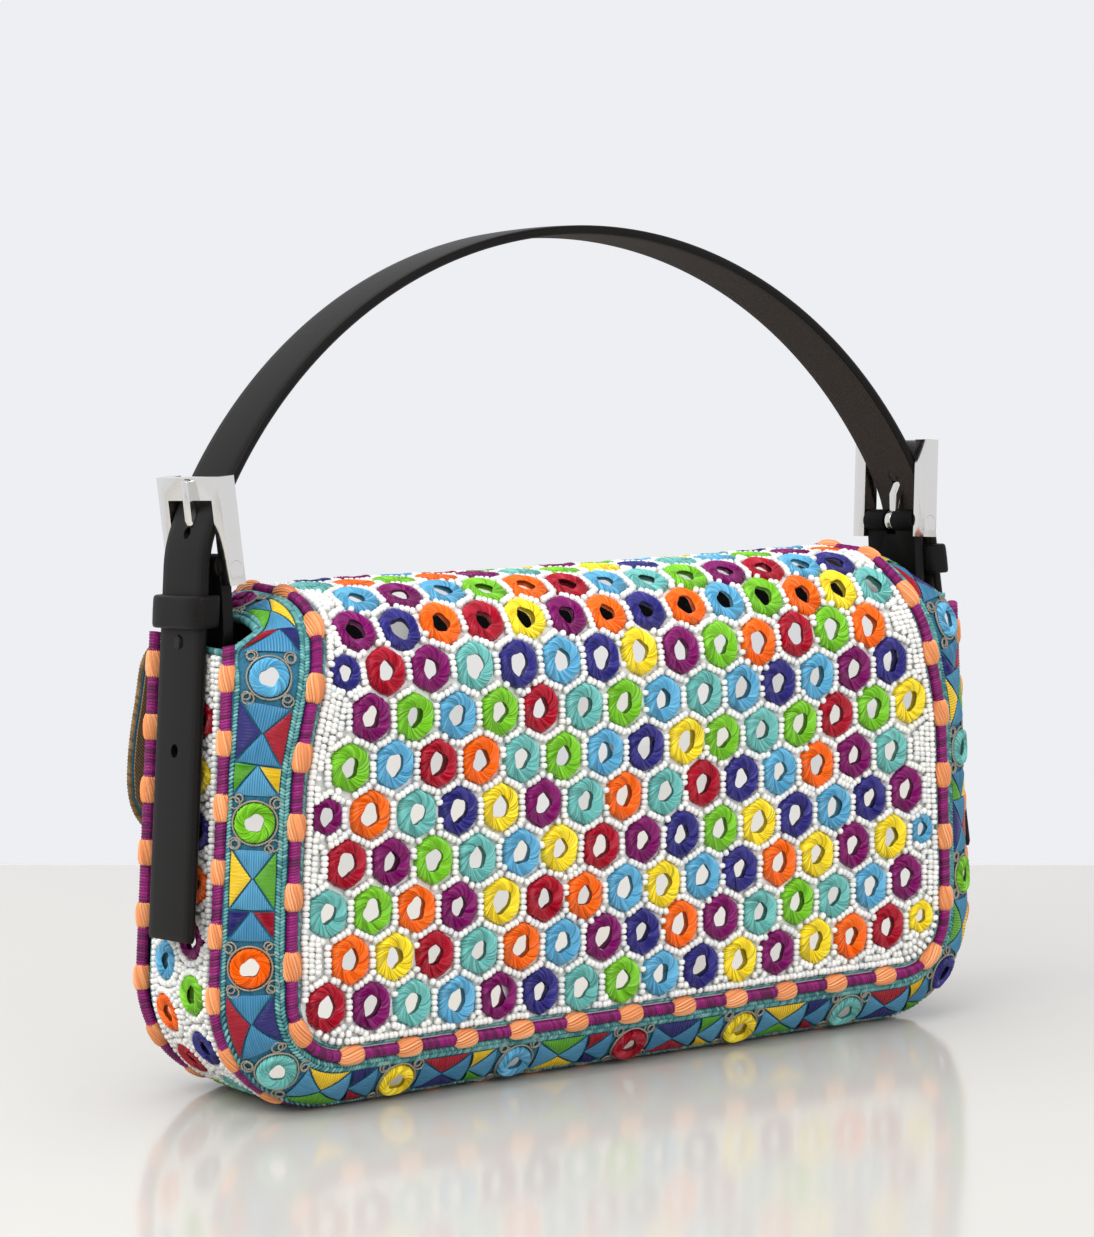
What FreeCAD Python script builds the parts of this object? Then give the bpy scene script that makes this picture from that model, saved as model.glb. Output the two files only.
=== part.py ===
import FreeCAD, Part
import math
import os
import Sketcher

# Flap shoulder bag, millimetres, +Z up.
# Origin: middle of the base, on the surface that the bag stands on.
# +X runs along the bag's length, -Y is the back, +Y is the flap side.

doc = FreeCAD.newDocument("FlapBag")
dims = doc.addObject("Spreadsheet::Sheet", "Dims")

TABLE = [
    # body of the bag
    ("half_base", 135.0), ("half_top", 129.55), ("side_top", 128.0), ("corner_rad", 32.0),
    ("gusset_half", 17.7), ("seam_half", 20.0), ("wall", 2.4), ("piping_rad", 2.2),
    ("back_face", 32.0), ("front_face", 28.0), ("rim_depth", 22.4),
    ("inner_half", 118.0), ("inner_top_half", 114.0), ("inner_bottom", 16.5), ("inner_rad", 17.0),
    ("panel_top", 124.0), ("base_half", 103.0),
    # top and flap
    ("top_z", 143.0), ("back_cy", -6.0), ("back_cz", 117.0), ("back_rad", 26.0),
    ("fold_cy", 7.0), ("fold_cz", 117.0), ("fold_rad", 26.0),
    ("flap_y", 36.0), ("flap_bottom", 72.0), ("flap_half", 130.0), ("core_half", 118.0),
    ("hinge_gap", 0.4), ("fold_gap", 1.4),
    # lining and pocket
    ("lining", 0.8), ("lining_half", 113.0), ("lining_back", 27.4), ("lining_front", 24.9),
    ("lining_side", 121.4), ("lining_top", 122.0),
    ("slit_half", 82.0), ("slit_low", 98.0), ("slit_high", 106.0), ("zip_z", 102.0),
    ("zip_half", 80.0), ("coil_rad", 0.6),
    # snap
    ("snap_z", 84.0), ("snap_rad", 8.0), ("stud_rad", 2.8),
    # handle
    ("strap_w", 22.5), ("strap_th", 3.0), ("arch_rad", 141.0), ("arch_top", 242.5),
    ("arch_half_deg", 64.0), ("bend_rad", 35.0), ("tail_low", 49.0), ("hole_rad", 1.9),
    ("pivot_z", 134.0), ("handle_tilt", 4.0),
    ("pin_x", 124.2), ("pin_z", 151.5), ("pin_rad", 1.7), ("tab_th", 1.7),
    ("frame_w", 34.0), ("frame_low", 5.0), ("frame_high", 25.0), ("frame_th", 5.0),
    ("side_bar", 5.1), ("top_bar", 6.5), ("frame_lean", 4.6),
    ("keeper_low", 134.4), ("keeper_high", 145.4), ("keeper_wall", 1.9),
    ("prong_w", 2.6), ("prong_th", 2.2),
]
VALUE = {}
for row, (alias, number) in enumerate(TABLE, start=1):
    dims.set("A%d" % row, alias)
    dims.set("B%d" % row, repr(number))
    dims.setAlias("B%d" % row, alias)
    VALUE[alias] = number
doc.recompute()


class Size:
    """A length with its value and the sheet expression that gives it."""

    def __init__(self, value, text):
        self.value = float(value)
        self.text = text

    def _other(self, other):
        if isinstance(other, Size):
            return other
        return Size(other, repr(float(other)))

    def __add__(self, other):
        o = self._other(other)
        return Size(self.value + o.value, "(%s + %s)" % (self.text, o.text))

    def __radd__(self, other):
        return self._other(other) + self

    def __sub__(self, other):
        o = self._other(other)
        return Size(self.value - o.value, "(%s - %s)" % (self.text, o.text))

    def __rsub__(self, other):
        return self._other(other) - self

    def __mul__(self, other):
        o = self._other(other)
        return Size(self.value * o.value, "(%s * %s)" % (self.text, o.text))

    def __rmul__(self, other):
        return self._other(other) * self

    def __truediv__(self, other):
        o = self._other(other)
        return Size(self.value / o.value, "(%s / %s)" % (self.text, o.text))

    def __neg__(self):
        return Size(-self.value, "(0 - %s)" % self.text)

    @property
    def bound(self):
        return "Dims." in self.text


def S(alias):
    return Size(VALUE[alias], "Dims." + alias)


def as_size(x):
    return x if isinstance(x, Size) else Size(x, repr(float(x)))


def val(x):
    return x.value if isinstance(x, Size) else float(x)


def bind(obj, prop, size):
    size = as_size(size)
    if size.bound:
        obj.setExpression(prop, size.text)
    elif prop.startswith("Placement."):
        base = obj.Placement.Base
        setattr(base, prop[-1], size.value)
        obj.Placement = FreeCAD.Placement(base, obj.Placement.Rotation)
    else:
        setattr(obj, prop, size.value)


V3 = FreeCAD.Vector
NODES = []


def node(obj, label):
    obj.Label = label
    NODES.append(obj)
    return obj


# ---- primitives ---------------------------------------------------------------

def box(name, x0, x1, y0, y1, z0, z1):
    b = doc.addObject("Part::Box", name)
    bind(b, "Length", as_size(x1) - x0)
    bind(b, "Width", as_size(y1) - y0)
    bind(b, "Height", as_size(z1) - z0)
    bind(b, "Placement.Base.x", x0)
    bind(b, "Placement.Base.y", y0)
    bind(b, "Placement.Base.z", z0)
    return b


def cyl(name, radius, height, base, axis):
    c = doc.addObject("Part::Cylinder", name)
    bind(c, "Radius", radius)
    bind(c, "Height", height)
    rot = FreeCAD.Rotation(V3(0, 0, 1), V3(*axis))
    c.Placement = FreeCAD.Placement(V3(*[val(v) for v in base]), rot)
    return c


def fuse(name, shapes):
    f = doc.addObject("Part::MultiFuse", name)
    f.Shapes = shapes
    return f


def cut(name, base, tool):
    c = doc.addObject("Part::Cut", name)
    c.Base = base
    c.Tool = tool
    return c


# ---- sketches -----------------------------------------------------------------

def new_body(name):
    return doc.addObject("PartDesign::Body", name)


def sketch(body, role, name, offset=None):
    sk = body.newObject("Sketcher::SketchObject", name)
    plane = [f for f in body.Origin.OriginFeatures if f.Role == role][0]
    sk.AttachmentSupport = [(plane, "")]
    sk.MapMode = "FlatFace"
    if offset is not None:
        sk.AttachmentOffset = FreeCAD.Placement(V3(0, 0, val(offset)), FreeCAD.Rotation())
        if as_size(offset).bound:
            sk.setExpression("AttachmentOffset.Base.z", as_size(offset).text)
    return sk


def limit(sk, kind, size, *where):
    size = as_size(size)
    i = sk.addConstraint(Sketcher.Constraint(kind, *where, size.value))
    if size.bound:
        sk.setExpression("Constraints[%d]" % i, size.text)


def pin_point(sk, g, p, x, y):
    x, y = as_size(x), as_size(y)
    if abs(x.value) < 1e-9:
        sk.addConstraint(Sketcher.Constraint("PointOnObject", g, p, -2))
    else:
        limit(sk, "DistanceX", x, -1, 1, g, p)
    if abs(y.value) < 1e-9:
        sk.addConstraint(Sketcher.Constraint("PointOnObject", g, p, -1))
    else:
        limit(sk, "DistanceY", y, -1, 1, g, p)


def contour(sk, verts, segs, closed=True):
    """verts: (x, y, how) with how "fix" or "tan"; segs: None for a line, or
    (centre x, centre y, counter-clockwise, radius, fixed centre x or None) for an arc."""
    n = len(verts)
    count = n if closed else n - 1
    start = sk.GeometryCount
    ends = []
    for i in range(count):
        a, b = verts[i], verts[(i + 1) % n]
        pa, pb = V3(val(a[0]), val(a[1]), 0), V3(val(b[0]), val(b[1]), 0)
        s = segs[i]
        if s is None:
            sk.addGeometry(Part.LineSegment(pa, pb), False)
            ends.append((1, 2))
        else:
            c = V3(val(s[0]), val(s[1]), 0)
            ang = lambda p: math.atan2(p.y - c.y, p.x - c.x)
            circle = Part.Circle(c, V3(0, 0, 1), val(s[3]))
            if s[2]:
                sk.addGeometry(Part.ArcOfCircle(circle, ang(pa), ang(pb)), False)
                ends.append((1, 2))
            else:
                sk.addGeometry(Part.ArcOfCircle(circle, ang(pb), ang(pa)), False)
                ends.append((2, 1))
    for i in range(count):
        if i == 0 and not closed:
            pin_point(sk, start, ends[0][0], verts[0][0], verts[0][1])
            continue
        prev = (i - 1) % count
        kind = "Tangent" if verts[i][2] == "tan" else "Coincident"
        sk.addConstraint(Sketcher.Constraint(kind, start + prev, ends[prev][1], start + i, ends[i][0]))
        if verts[i][2] == "fix":
            pin_point(sk, start + i, ends[i][0], verts[i][0], verts[i][1])
    if not closed and verts[-1][2] == "fix":
        pin_point(sk, start + count - 1, ends[count - 1][1], verts[-1][0], verts[-1][1])
    for i in range(count):
        s = segs[i]
        if s is not None:
            if s[3] is not None and not (len(s) > 5 and s[5] == "free"):
                limit(sk, "Radius", s[3], start + i)
            if s[4] is not None:
                if abs(val(s[4])) < 1e-9:
                    sk.addConstraint(Sketcher.Constraint("PointOnObject", start + i, 3, -2))
                else:
                    limit(sk, "DistanceX", s[4], -1, 1, start + i, 3)


def pad(body, sk, name, length, symmetric=True, reverse=False):
    p = body.newObject("PartDesign::Pad", name)
    p.Profile = sk
    if symmetric:
        p.SideType = "Symmetric"
    p.Reversed = reverse
    bind(p, "Length", length)
    return p


def pocket_through(body, sk, name):
    p = body.newObject("PartDesign::Pocket", name)
    p.Profile = sk
    p.SideType = "Symmetric"
    p.Type = "Length"
    p.Length = 600.0
    return p


def tangent_corner(cx, cz, r, tx, tz):
    """Where a line through (tx, tz) leaves the circle's outer side upwards."""
    dx, dz = tx - cx, tz - cz
    d = math.hypot(dx, dz)
    a = math.atan2(dz, dx) - math.acos(r / d)
    return cx + r * math.cos(a), cz + r * math.sin(a)


# ---- base, side gussets --------------------------------------------------------

node(box("BasePanel", -S("base_half"), S("base_half"), -S("gusset_half"), S("gusset_half"), 0, S("wall")),
     "base_panel")

for side, s in (("left", -1.0), ("right", 1.0)):
    b = new_body("Gusset" + side)
    sk = sketch(b, "XZ_Plane", "GussetOutline" + side)
    R, w = S("corner_rad"), S("wall")
    cx, cz = VALUE["base_half"], VALUE["corner_rad"]
    ox, oz = tangent_corner(cx, cz, VALUE["corner_rad"], VALUE["half_top"], VALUE["side_top"])
    ix, iz = tangent_corner(cx, cz, VALUE["corner_rad"] - VALUE["wall"],
                            VALUE["half_top"] - VALUE["wall"], VALUE["side_top"])
    verts = [
        (s * S("base_half"), 0, "fix"), (s * ox, oz, "tan"), (s * S("half_top"), S("side_top"), "fix"),
        (s * (S("half_top") - w), S("side_top"), "fix"), (s * ix, iz, "tan"), (s * S("base_half"), w, "fix"),
    ]
    ccw = s > 0
    segs = [(s * cx, cz, ccw, R, s * S("base_half")), None, None, None,
            (s * cx, cz, not ccw, R - w, s * S("base_half")), None]
    contour(sk, verts, segs)
    pad(b, sk, "GussetStrip" + side, 2 * S("gusset_half"))
    node(b, side + "_gusset")


# ---- piped seams: a wrapped cord along the two long seams of the gusset ----------

def piping(label, y):
    b = new_body("Body" + label)
    sp = sketch(b, "XZ_Plane", "Path" + label, -as_size(y))
    r = S("piping_rad")
    zc = r + 0.3
    top = S("side_top") + 4.0
    R = S("corner_rad")
    bx = S("base_half")
    hx = S("half_top") - 0.2
    lx, lz = tangent_corner(val(bx), val(zc) + val(R), val(R), val(hx), val(top))
    verts = [(-hx, top, "fix"), (-lx, lz, "tan"), (-bx, zc, "fix"), (bx, zc, "fix"), (lx, lz, "tan"), (hx, top, "fix")]
    segs = [None, (-val(bx), val(zc) + val(R), True, R, -bx), None,
            (val(bx), val(zc) + val(R), True, R, bx), None]
    contour(sp, verts, segs, closed=False)
    pr = sketch(b, "XY_Plane", "Round" + label, top)
    pr.addGeometry(Part.Circle(V3(-val(hx), val(y), 0), V3(0, 0, 1), val(r)), False)
    pin_point(pr, 0, 3, -hx, y)
    limit(pr, "Radius", r, 0)
    doc.recompute()
    pipe = b.newObject("PartDesign::AdditivePipe", "Cord" + label)
    pipe.Profile = pr
    pipe.Spine = (sp, ["Edge%d" % (i + 1) for i in range(5)])
    node(b, label)


piping("back_piping", -S("seam_half"))
piping("front_piping", S("seam_half"))


# ---- back and front panels: shallow dishes that swell out from the seams ----------

def dish(label, sign, face, top, strip=None):
    """sign -1: back. The rim starts beside the piping and rises to the face."""
    b = new_body("Body" + label)

    def outline(name, y, half_low, half_high, low, rad, inset):
        sk = sketch(b, "XZ_Plane", name + label, -(sign * as_size(y)))
        bx = half_low - rad
        hx = half_high - inset
        lo = low + inset
        r = rad - inset
        cz = val(lo) + val(r)
        tx, tz = tangent_corner(val(bx), cz, val(r), val(hx), val(top))
        verts = [(-bx, lo, "fix"), (bx, lo, "fix"), (tx, tz, "tan"), (hx, top, "fix"), (-hx, top, "fix"), (-tx, tz, "tan")]
        segs = [None, (val(bx), cz, True, r, bx), None, None, None, (-val(bx), cz, True, r, -bx)]
        contour(sk, verts, segs)
        return sk

    w = S("wall")
    a = outline("Rim", S("rim_depth"), S("half_base"), S("half_top"), Size(0.6, "0.6"), S("corner_rad"), Size(0.0, "0.0"))
    f = outline("Face", face, S("inner_half"), S("inner_top_half"), S("inner_bottom"), S("inner_rad"), Size(0.0, "0.0"))
    lo = b.newObject("PartDesign::AdditiveLoft", "Shell" + label)
    lo.Profile = a
    lo.Sections = [f]
    lo.Ruled = True
    doc.recompute()
    a2 = outline("RimIn", S("rim_depth") - 0.6, S("half_base"), S("half_top"), Size(0.6, "0.6"), S("corner_rad"), w + 0.9)
    f2 = outline("FaceIn", face - w, S("inner_half"), S("inner_top_half"), S("inner_bottom"), S("inner_rad"), w - 0.4)
    li = b.newObject("PartDesign::SubtractiveLoft", "Hollow" + label)
    li.Profile = a2
    li.Sections = [f2]
    li.Ruled = True
    doc.recompute()
    if strip is not None:
        strip(b)
    return node(b, label)


def on_arc(cy, cz, r, deg):
    return cy + r * math.cos(math.radians(deg)), cz + r * math.sin(math.radians(deg))


BR, FR, WALL = VALUE["back_rad"], VALUE["fold_rad"], VALUE["wall"]
BCY, BCZ, FCY, FCZ = VALUE["back_cy"], VALUE["back_cz"], VALUE["fold_cy"], VALUE["fold_cz"]
NOSE = WALL / 2.0
# fold lines, in the middle of the cloth's thickness
H1 = on_arc(BCY, BCZ, BR - NOSE, 135.0)
H2 = on_arc(FCY, FCZ, FR - NOSE, 45.0)
STEP1 = math.degrees((NOSE + VALUE["hinge_gap"]) / (BR - NOSE))
STEP2 = math.degrees((NOSE + VALUE["fold_gap"]) / (FR - NOSE))


def back_strip(b):
    # the cloth goes on from the panel's top edge, round to the back fold line
    sk = sketch(b, "YZ_Plane", "BackTurn")
    end = 135.0 + STEP1
    oy, oz = on_arc(BCY, BCZ, BR, end)
    iy, iz = on_arc(BCY, BCZ, BR - WALL, end)
    by, bz = S("back_cy"), S("back_cz")
    R, w = S("back_rad"), S("wall")
    low = bz - 3.0
    verts = [(by - R, low, "fix"), (by - R, bz, "fix"), (oy, oz, "fix"), (iy, iz, "fix"),
             (by - R + w, bz, "fix"), (by - R + w, low, "fix")]
    segs = [None, (BCY, BCZ, False, R, None), None, (BCY, BCZ, True, R - w, None), None, None]
    contour(sk, verts, segs)
    pad(b, sk, "BackTurnStrip", 2 * (S("inner_top_half") - 0.4))


dish("back_panel", -1.0, S("back_face"), S("back_cz") - 3.0, back_strip)
dish("front_panel", 1.0, S("front_face"), S("panel_top"))


# ---- top strip, between the two fold lines ----------------------------------------

b = new_body("TopPanel")
sk = sketch(b, "YZ_Plane", "TopProfile")
n_out = on_arc(BCY, BCZ, BR, 135.0)
n_in = on_arc(BCY, BCZ, BR - WALL, 135.0)
e_out = on_arc(FCY, FCZ, FR, 45.0 + STEP2)
e_in = on_arc(FCY, FCZ, FR - WALL, 45.0 + STEP2)
by, fy, tz, w = S("back_cy"), S("fold_cy"), S("top_z"), S("wall")
verts = [n_in + ("fix",), n_out + ("fix",), (by, tz, "fix"), (fy, tz, "fix"), e_out + ("fix",), e_in + ("fix",),
         (fy, tz - w, "fix"), (by, tz - w, "fix")]
segs = [(H1[0], H1[1], False, w / 2.0, None, "free"), (BCY, BCZ, False, S("back_rad"), None), None,
        (FCY, FCZ, False, S("fold_rad"), None), None, (FCY, FCZ, True, S("fold_rad") - w, None), None,
        (BCY, BCZ, True, S("back_rad") - w, None)]
contour(sk, verts, segs)
limit(sk, "DistanceX", H1[0], -1, 1, 0, 3)
pad(b, sk, "TopStrip", 2 * S("core_half"))
node(b, "top_panel")

# lining under the top strip
node(box("TopLining", -S("lining_half"), S("lining_half"), S("back_cy"), S("fold_cy"), tz - w - S("lining"), tz - w),
     "top_lining")


# ---- flap ------------------------------------------------------------------------

b = new_body("FlapPanel")
sk = sketch(b, "YZ_Plane", "FlapProfile")
n_out = on_arc(FCY, FCZ, FR, 45.0)
n_in = on_arc(FCY, FCZ, FR - WALL, 45.0)
R = S("fold_rad")
verts = [n_out + ("fix",), (fy + R, S("fold_cz"), "fix"), (S("flap_y"), S("flap_bottom"), "fix"),
         (S("flap_y") - w, S("flap_bottom"), "fix"), (fy + R - w, S("fold_cz"), "fix"), n_in + ("fix",)]
segs = [(FCY, FCZ, False, R, None), None, None, None, (FCY, FCZ, True, R - w, None),
        (H2[0], H2[1], False, w / 2.0, None, "free")]
contour(sk, verts, segs)
limit(sk, "DistanceX", H2[0], -1, 1, 5, 3)
pad(b, sk, "FlapStrip", 2 * S("flap_half"))
# the flap's upper side edges are cut back beside the strap
for side, s in (("Left", -1.0), ("Right", 1.0)):
    nk = sketch(b, "XZ_Plane", "Notch" + side)
    x0, x1 = S("core_half"), S("flap_half") + 4.0
    z0, z1 = S("fold_cz") + 6.0, S("top_z") + 4.0
    contour(nk, [(s * x0, z0, "fix"), (s * x1, z0, "fix"), (s * x1, z1, "fix"), (s * x0, z1, "fix")], [None] * 4)
    pocket_through(b, nk, "NotchCut" + side)
node(b, "flap_panel")

SLOPE = (VALUE["flap_y"] - FCY - FR) / (FCZ - VALUE["flap_bottom"])


def flap_inner(z):
    return FCY + FR - WALL + SLOPE * (FCZ - z)


b = new_body("FlapLining")
sk = sketch(b, "YZ_Plane", "FlapLiningProfile")
z_hi, z_lo, t = FCZ - 2.0, 74.0, S("lining")
y_hi, y_lo = flap_inner(z_hi) - 0.02, flap_inner(z_lo) - 0.02
contour(sk, [(y_hi, z_hi, "fix"), (y_lo, z_lo, "fix"), (y_lo - t, z_lo, "fix"), (y_hi - t, z_hi, "fix")], [None] * 4)
pad(b, sk, "FlapLiningSheet", 2 * (S("flap_half") - 2.0))
node(b, "flap_lining")


# ---- lining of the body, tab roots -----------------------------------------------

back_y = S("lining_back")
sheet_back = box("LiningBackSheet", -S("lining_half"), S("lining_half"), -back_y, -back_y + S("lining"), 20.0, S("lining_top"))
slit = box("PocketSlit", -S("slit_half"), S("slit_half"), -back_y - 2.0, -back_y + 4.0, S("slit_low"), S("slit_high"))
node(cut("LiningBack", sheet_back, slit), "lining_back")
node(box("LiningFront", -S("lining_half"), S("lining_half"), S("lining_front") - S("lining"), S("lining_front"), 24.0, S("lining_top")),
     "lining_front")
node(box("LiningBase", -(S("base_half") - 2.0), S("base_half") - 2.0, -(S("gusset_half") - 1.0), S("gusset_half") - 1.0,
         S("wall") + 0.2, S("wall") + 0.2 + S("lining")), "lining_base")
for side, s in (("left", -1.0), ("right", 1.0)):
    x_in, x_out = S("lining_side") - S("lining"), S("lining_side")
    lo, hi = (-x_out, -x_in) if s < 0 else (x_in, x_out)
    node(box("Lining" + side, lo, hi, -(S("gusset_half") - 1.0), S("gusset_half") - 1.0, 12.0, S("lining_top")),
         "lining_" + side)

# each strap tab is sewn in between gusset and lining; its root ends in a hollow
# curve round the tab's flex line
for side, s in (("left", -1.0), ("right", 1.0)):
    lo = S("pin_x") - S("tab_th")
    hi = S("pin_x") + S("tab_th")
    x0, x1 = (-hi, -lo) if s < 0 else (lo, hi)
    root = box("TabRootPlate" + side, x0, x1, -S("strap_w") / 2.0, S("strap_w") / 2.0, 96.0, S("pivot_z") - 3.6)
    hollow = cyl("TabRootHollow" + side, S("strap_w") / 2.0 + 0.5, 40.0,
                 (s * VALUE["pin_x"] - 20.0, 0, VALUE["pivot_z"]), (1, 0, 0))
    node(cut("TabRoot" + side, root, hollow), side + "_tab_root")


# ---- zipped inner pocket -----------------------------------------------------------

node(box("PocketBag", -90.0, 90.0, -29.4, -28.7, 34.0, 114.0), "pocket_bag")
tape_low = box("TapeLow", -S("zip_half"), S("zip_half"), -28.1, -27.6, S("zip_z") - 9.0, S("zip_z") - 1.62)
tape_high = box("TapeHigh", -S("zip_half"), S("zip_half"), -28.1, -27.6, S("zip_z") + 1.62, S("zip_z") + 9.0)
tapes = doc.addObject("Part::Compound", "ZipTapes")
tapes.Links = [tape_low, tape_high]
node(tapes, "zip_tapes")
coils = doc.addObject("Part::Compound", "ZipCoils")
coils.Links = [
    cyl("CoilLow", S("coil_rad"), 2 * S("zip_half"), (-VALUE["zip_half"], -27.85, VALUE["zip_z"] - 0.98), (1, 0, 0)),
    cyl("CoilHigh", S("coil_rad"), 2 * S("zip_half"), (-VALUE["zip_half"], -27.85, VALUE["zip_z"] + 0.98), (1, 0, 0)),
]
node(coils, "zip_coils")

# slider at the closed end: front plate, back plate and the wedge between the coils
SX = 72.0
slider = fuse("ZipSlider", [
    box("SliderFront", SX - 5.0, SX + 5.0, -26.4, -25.2, S("zip_z") - 3.6, S("zip_z") + 3.6),
    box("SliderBack", SX - 5.0, SX + 5.0, -28.66, -28.48, S("zip_z") - 3.0, S("zip_z") + 3.0),
    box("SliderWedge", SX - 2.0, SX + 2.0, -28.6, -25.6, S("zip_z") - 0.28, S("zip_z") + 0.28),
    cyl("SliderStud", 1.0, 2.2, (SX, -25.4, VALUE["zip_z"]), (0, 1, 0)),
    cyl("SliderCap", 1.7, 0.6, (SX, -23.3, VALUE["zip_z"]), (0, 1, 0)),
])
node(slider, "zip_slider")
pull_plate = box("PullPlate", SX - 2.6, SX + 2.6, -24.9, -23.6, S("zip_z") - 22.0, S("zip_z"))
pull_eye = cyl("PullEye", 2.6, 1.3, (SX, -24.9, VALUE["zip_z"]), (0, 1, 0))
pull_hole = cyl("PullHole", 1.06, 4.0, (SX, -26.0, VALUE["zip_z"]), (0, 1, 0))
node(cut("ZipPull", fuse("PullBlank", [pull_plate, pull_eye]), pull_hole), "zip_pull")


# ---- magnetic snap -----------------------------------------------------------------

zs = VALUE["snap_z"]
ff = VALUE["front_face"]
cup = cyl("SnapCup", S("snap_rad"), 2.0, (0, ff + 0.02, zs), (0, 1, 0))
cup_hole = cyl("SnapCupHole", S("stud_rad") + 0.8, 3.0, (0, ff + 0.5, zs), (0, 1, 0))
node(cut("FrontSnap", cup, cup_hole), "front_snap")
node(cyl("FrontSnapWasher", S("snap_rad"), 0.6, (0, ff - WALL - 0.61, zs), (0, 1, 0)), "front_snap_washer")
tilt = math.degrees(math.atan(SLOPE))
tilted = FreeCAD.Rotation(V3(1, 0, 0), tilt)
seat = V3(0, flap_inner(zs) - 0.05 - VALUE["lining"], zs)


def on_flap(c, along):
    """Cylinder that points from the flap's lining towards the bag."""
    d = tilted.multVec(V3(0, -1, 0))
    c.Placement = FreeCAD.Placement(seat + d * along, FreeCAD.Rotation(V3(0, 0, 1), d))
    return c


snap_disc = on_flap(cyl("SnapDisc", S("snap_rad"), 1.1, (0, 0, 0), (0, 0, 1)), 0.0)
snap_stud = on_flap(cyl("SnapStud", S("stud_rad"), 1.5, (0, 0, 0), (0, 0, 1)), 0.9)
node(fuse("FlapSnap", [snap_disc, snap_stud]), "flap_snap")


# ---- handle: strap, tabs, buckles, keepers -------------------------------------------

PZ = VALUE["pivot_z"]
TILT = FreeCAD.Placement(V3(0, 0, 0), FreeCAD.Rotation(V3(1, 0, 0), -VALUE["handle_tilt"]), V3(0, 0, PZ))

# strap: an arch, a smaller bend at each buckle and a straight hanging end
AR, AT, TH = VALUE["arch_rad"], VALUE["arch_top"], VALUE["strap_th"]
AC = AT - AR
A0 = math.radians(VALUE["arch_half_deg"])
BEND = VALUE["bend_rad"]
TAIL_LEAN = math.atan(0.0988)
# the bend's centre lies on the arch's radius at its end, so the two are tangent
bend_c = (math.sin(A0) * (AR - BEND), AC + math.cos(A0) * (AR - BEND))
A1 = math.pi / 2.0 - TAIL_LEAN


def strap_side(off):
    """Points of one half of the strap at an offset from its middle line."""
    p_arch = (math.sin(A0) * (AR + off), AC + math.cos(A0) * (AR + off))
    p_bend = (bend_c[0] + math.sin(A1) * (BEND + off), bend_c[1] + math.cos(A1) * (BEND + off))
    drop = p_bend[1] - VALUE["tail_low"]
    p_end = (p_bend[0] + math.tan(TAIL_LEAN) * drop, VALUE["tail_low"])
    return p_arch, p_bend, p_end


h = TH / 2.0
oa, ob, oe = strap_side(h)
ia, ib, ie = strap_side(-h)
b = new_body("ShoulderStrap")
sk = sketch(b, "XZ_Plane", "StrapProfile")
R_out, R_in = S("arch_rad") + S("strap_th") / 2.0, S("arch_rad") - S("strap_th") / 2.0
B_out, B_in = S("bend_rad") + S("strap_th") / 2.0, S("bend_rad") - S("strap_th") / 2.0
low = S("tail_low")
bl = (-bend_c[0], bend_c[1])
verts = [
    (oe[0], low, "fix"), ob + ("fix",), oa + ("fix",), (-oa[0], oa[1], "fix"), (-ob[0], ob[1], "fix"), (-oe[0], low, "fix"),
    (-ie[0], low, "fix"), (-ib[0], ib[1], "fix"), (-ia[0], ia[1], "fix"), ia + ("fix",), ib + ("fix",), (ie[0], low, "fix"),
]
segs = [None, (bend_c[0], bend_c[1], True, B_out, None), (0, AC, True, R_out, None), (bl[0], bl[1], True, B_out, None), None,
        None, None, (bl[0], bl[1], False, B_in, None), (0, AC, False, R_in, None), (bend_c[0], bend_c[1], False, B_in, None),
        None, None]
contour(sk, verts, segs)
pad(b, sk, "StrapBand", S("strap_w"))
# punched holes: two spare ones in each hanging end, and the long one round the prong
hk = sketch(b, "YZ_Plane", "StrapHoles")
for i, z in enumerate((131.0, 101.0)):
    hk.addGeometry(Part.Circle(V3(0, z, 0), V3(0, 0, 1), VALUE["hole_rad"]), False)
    pin_point(hk, i, 3, 0, z)
    limit(hk, "Radius", S("hole_rad"), i)
pocket_through(b, hk, "SpareHoles")
gk = sketch(b, "YZ_Plane", "ProngHole")
contour(gk, [(1.75, 159.8, "fix"), (1.75, 165.6, "fix"), (-1.75, 165.6, "fix"), (-1.75, 159.8, "fix")],
        [None, (0, 165.6, True, 1.75, None, "free"), None, (0, 159.8, True, 1.75, None, "free")])
limit(gk, "DistanceY", 165.6, -1, 1, 1, 3)
limit(gk, "DistanceY", 159.8, -1, 1, 3, 3)
pocket_through(b, gk, "ProngHoleCut")
b.Placement = TILT
node(b, "shoulder_strap")

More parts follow.
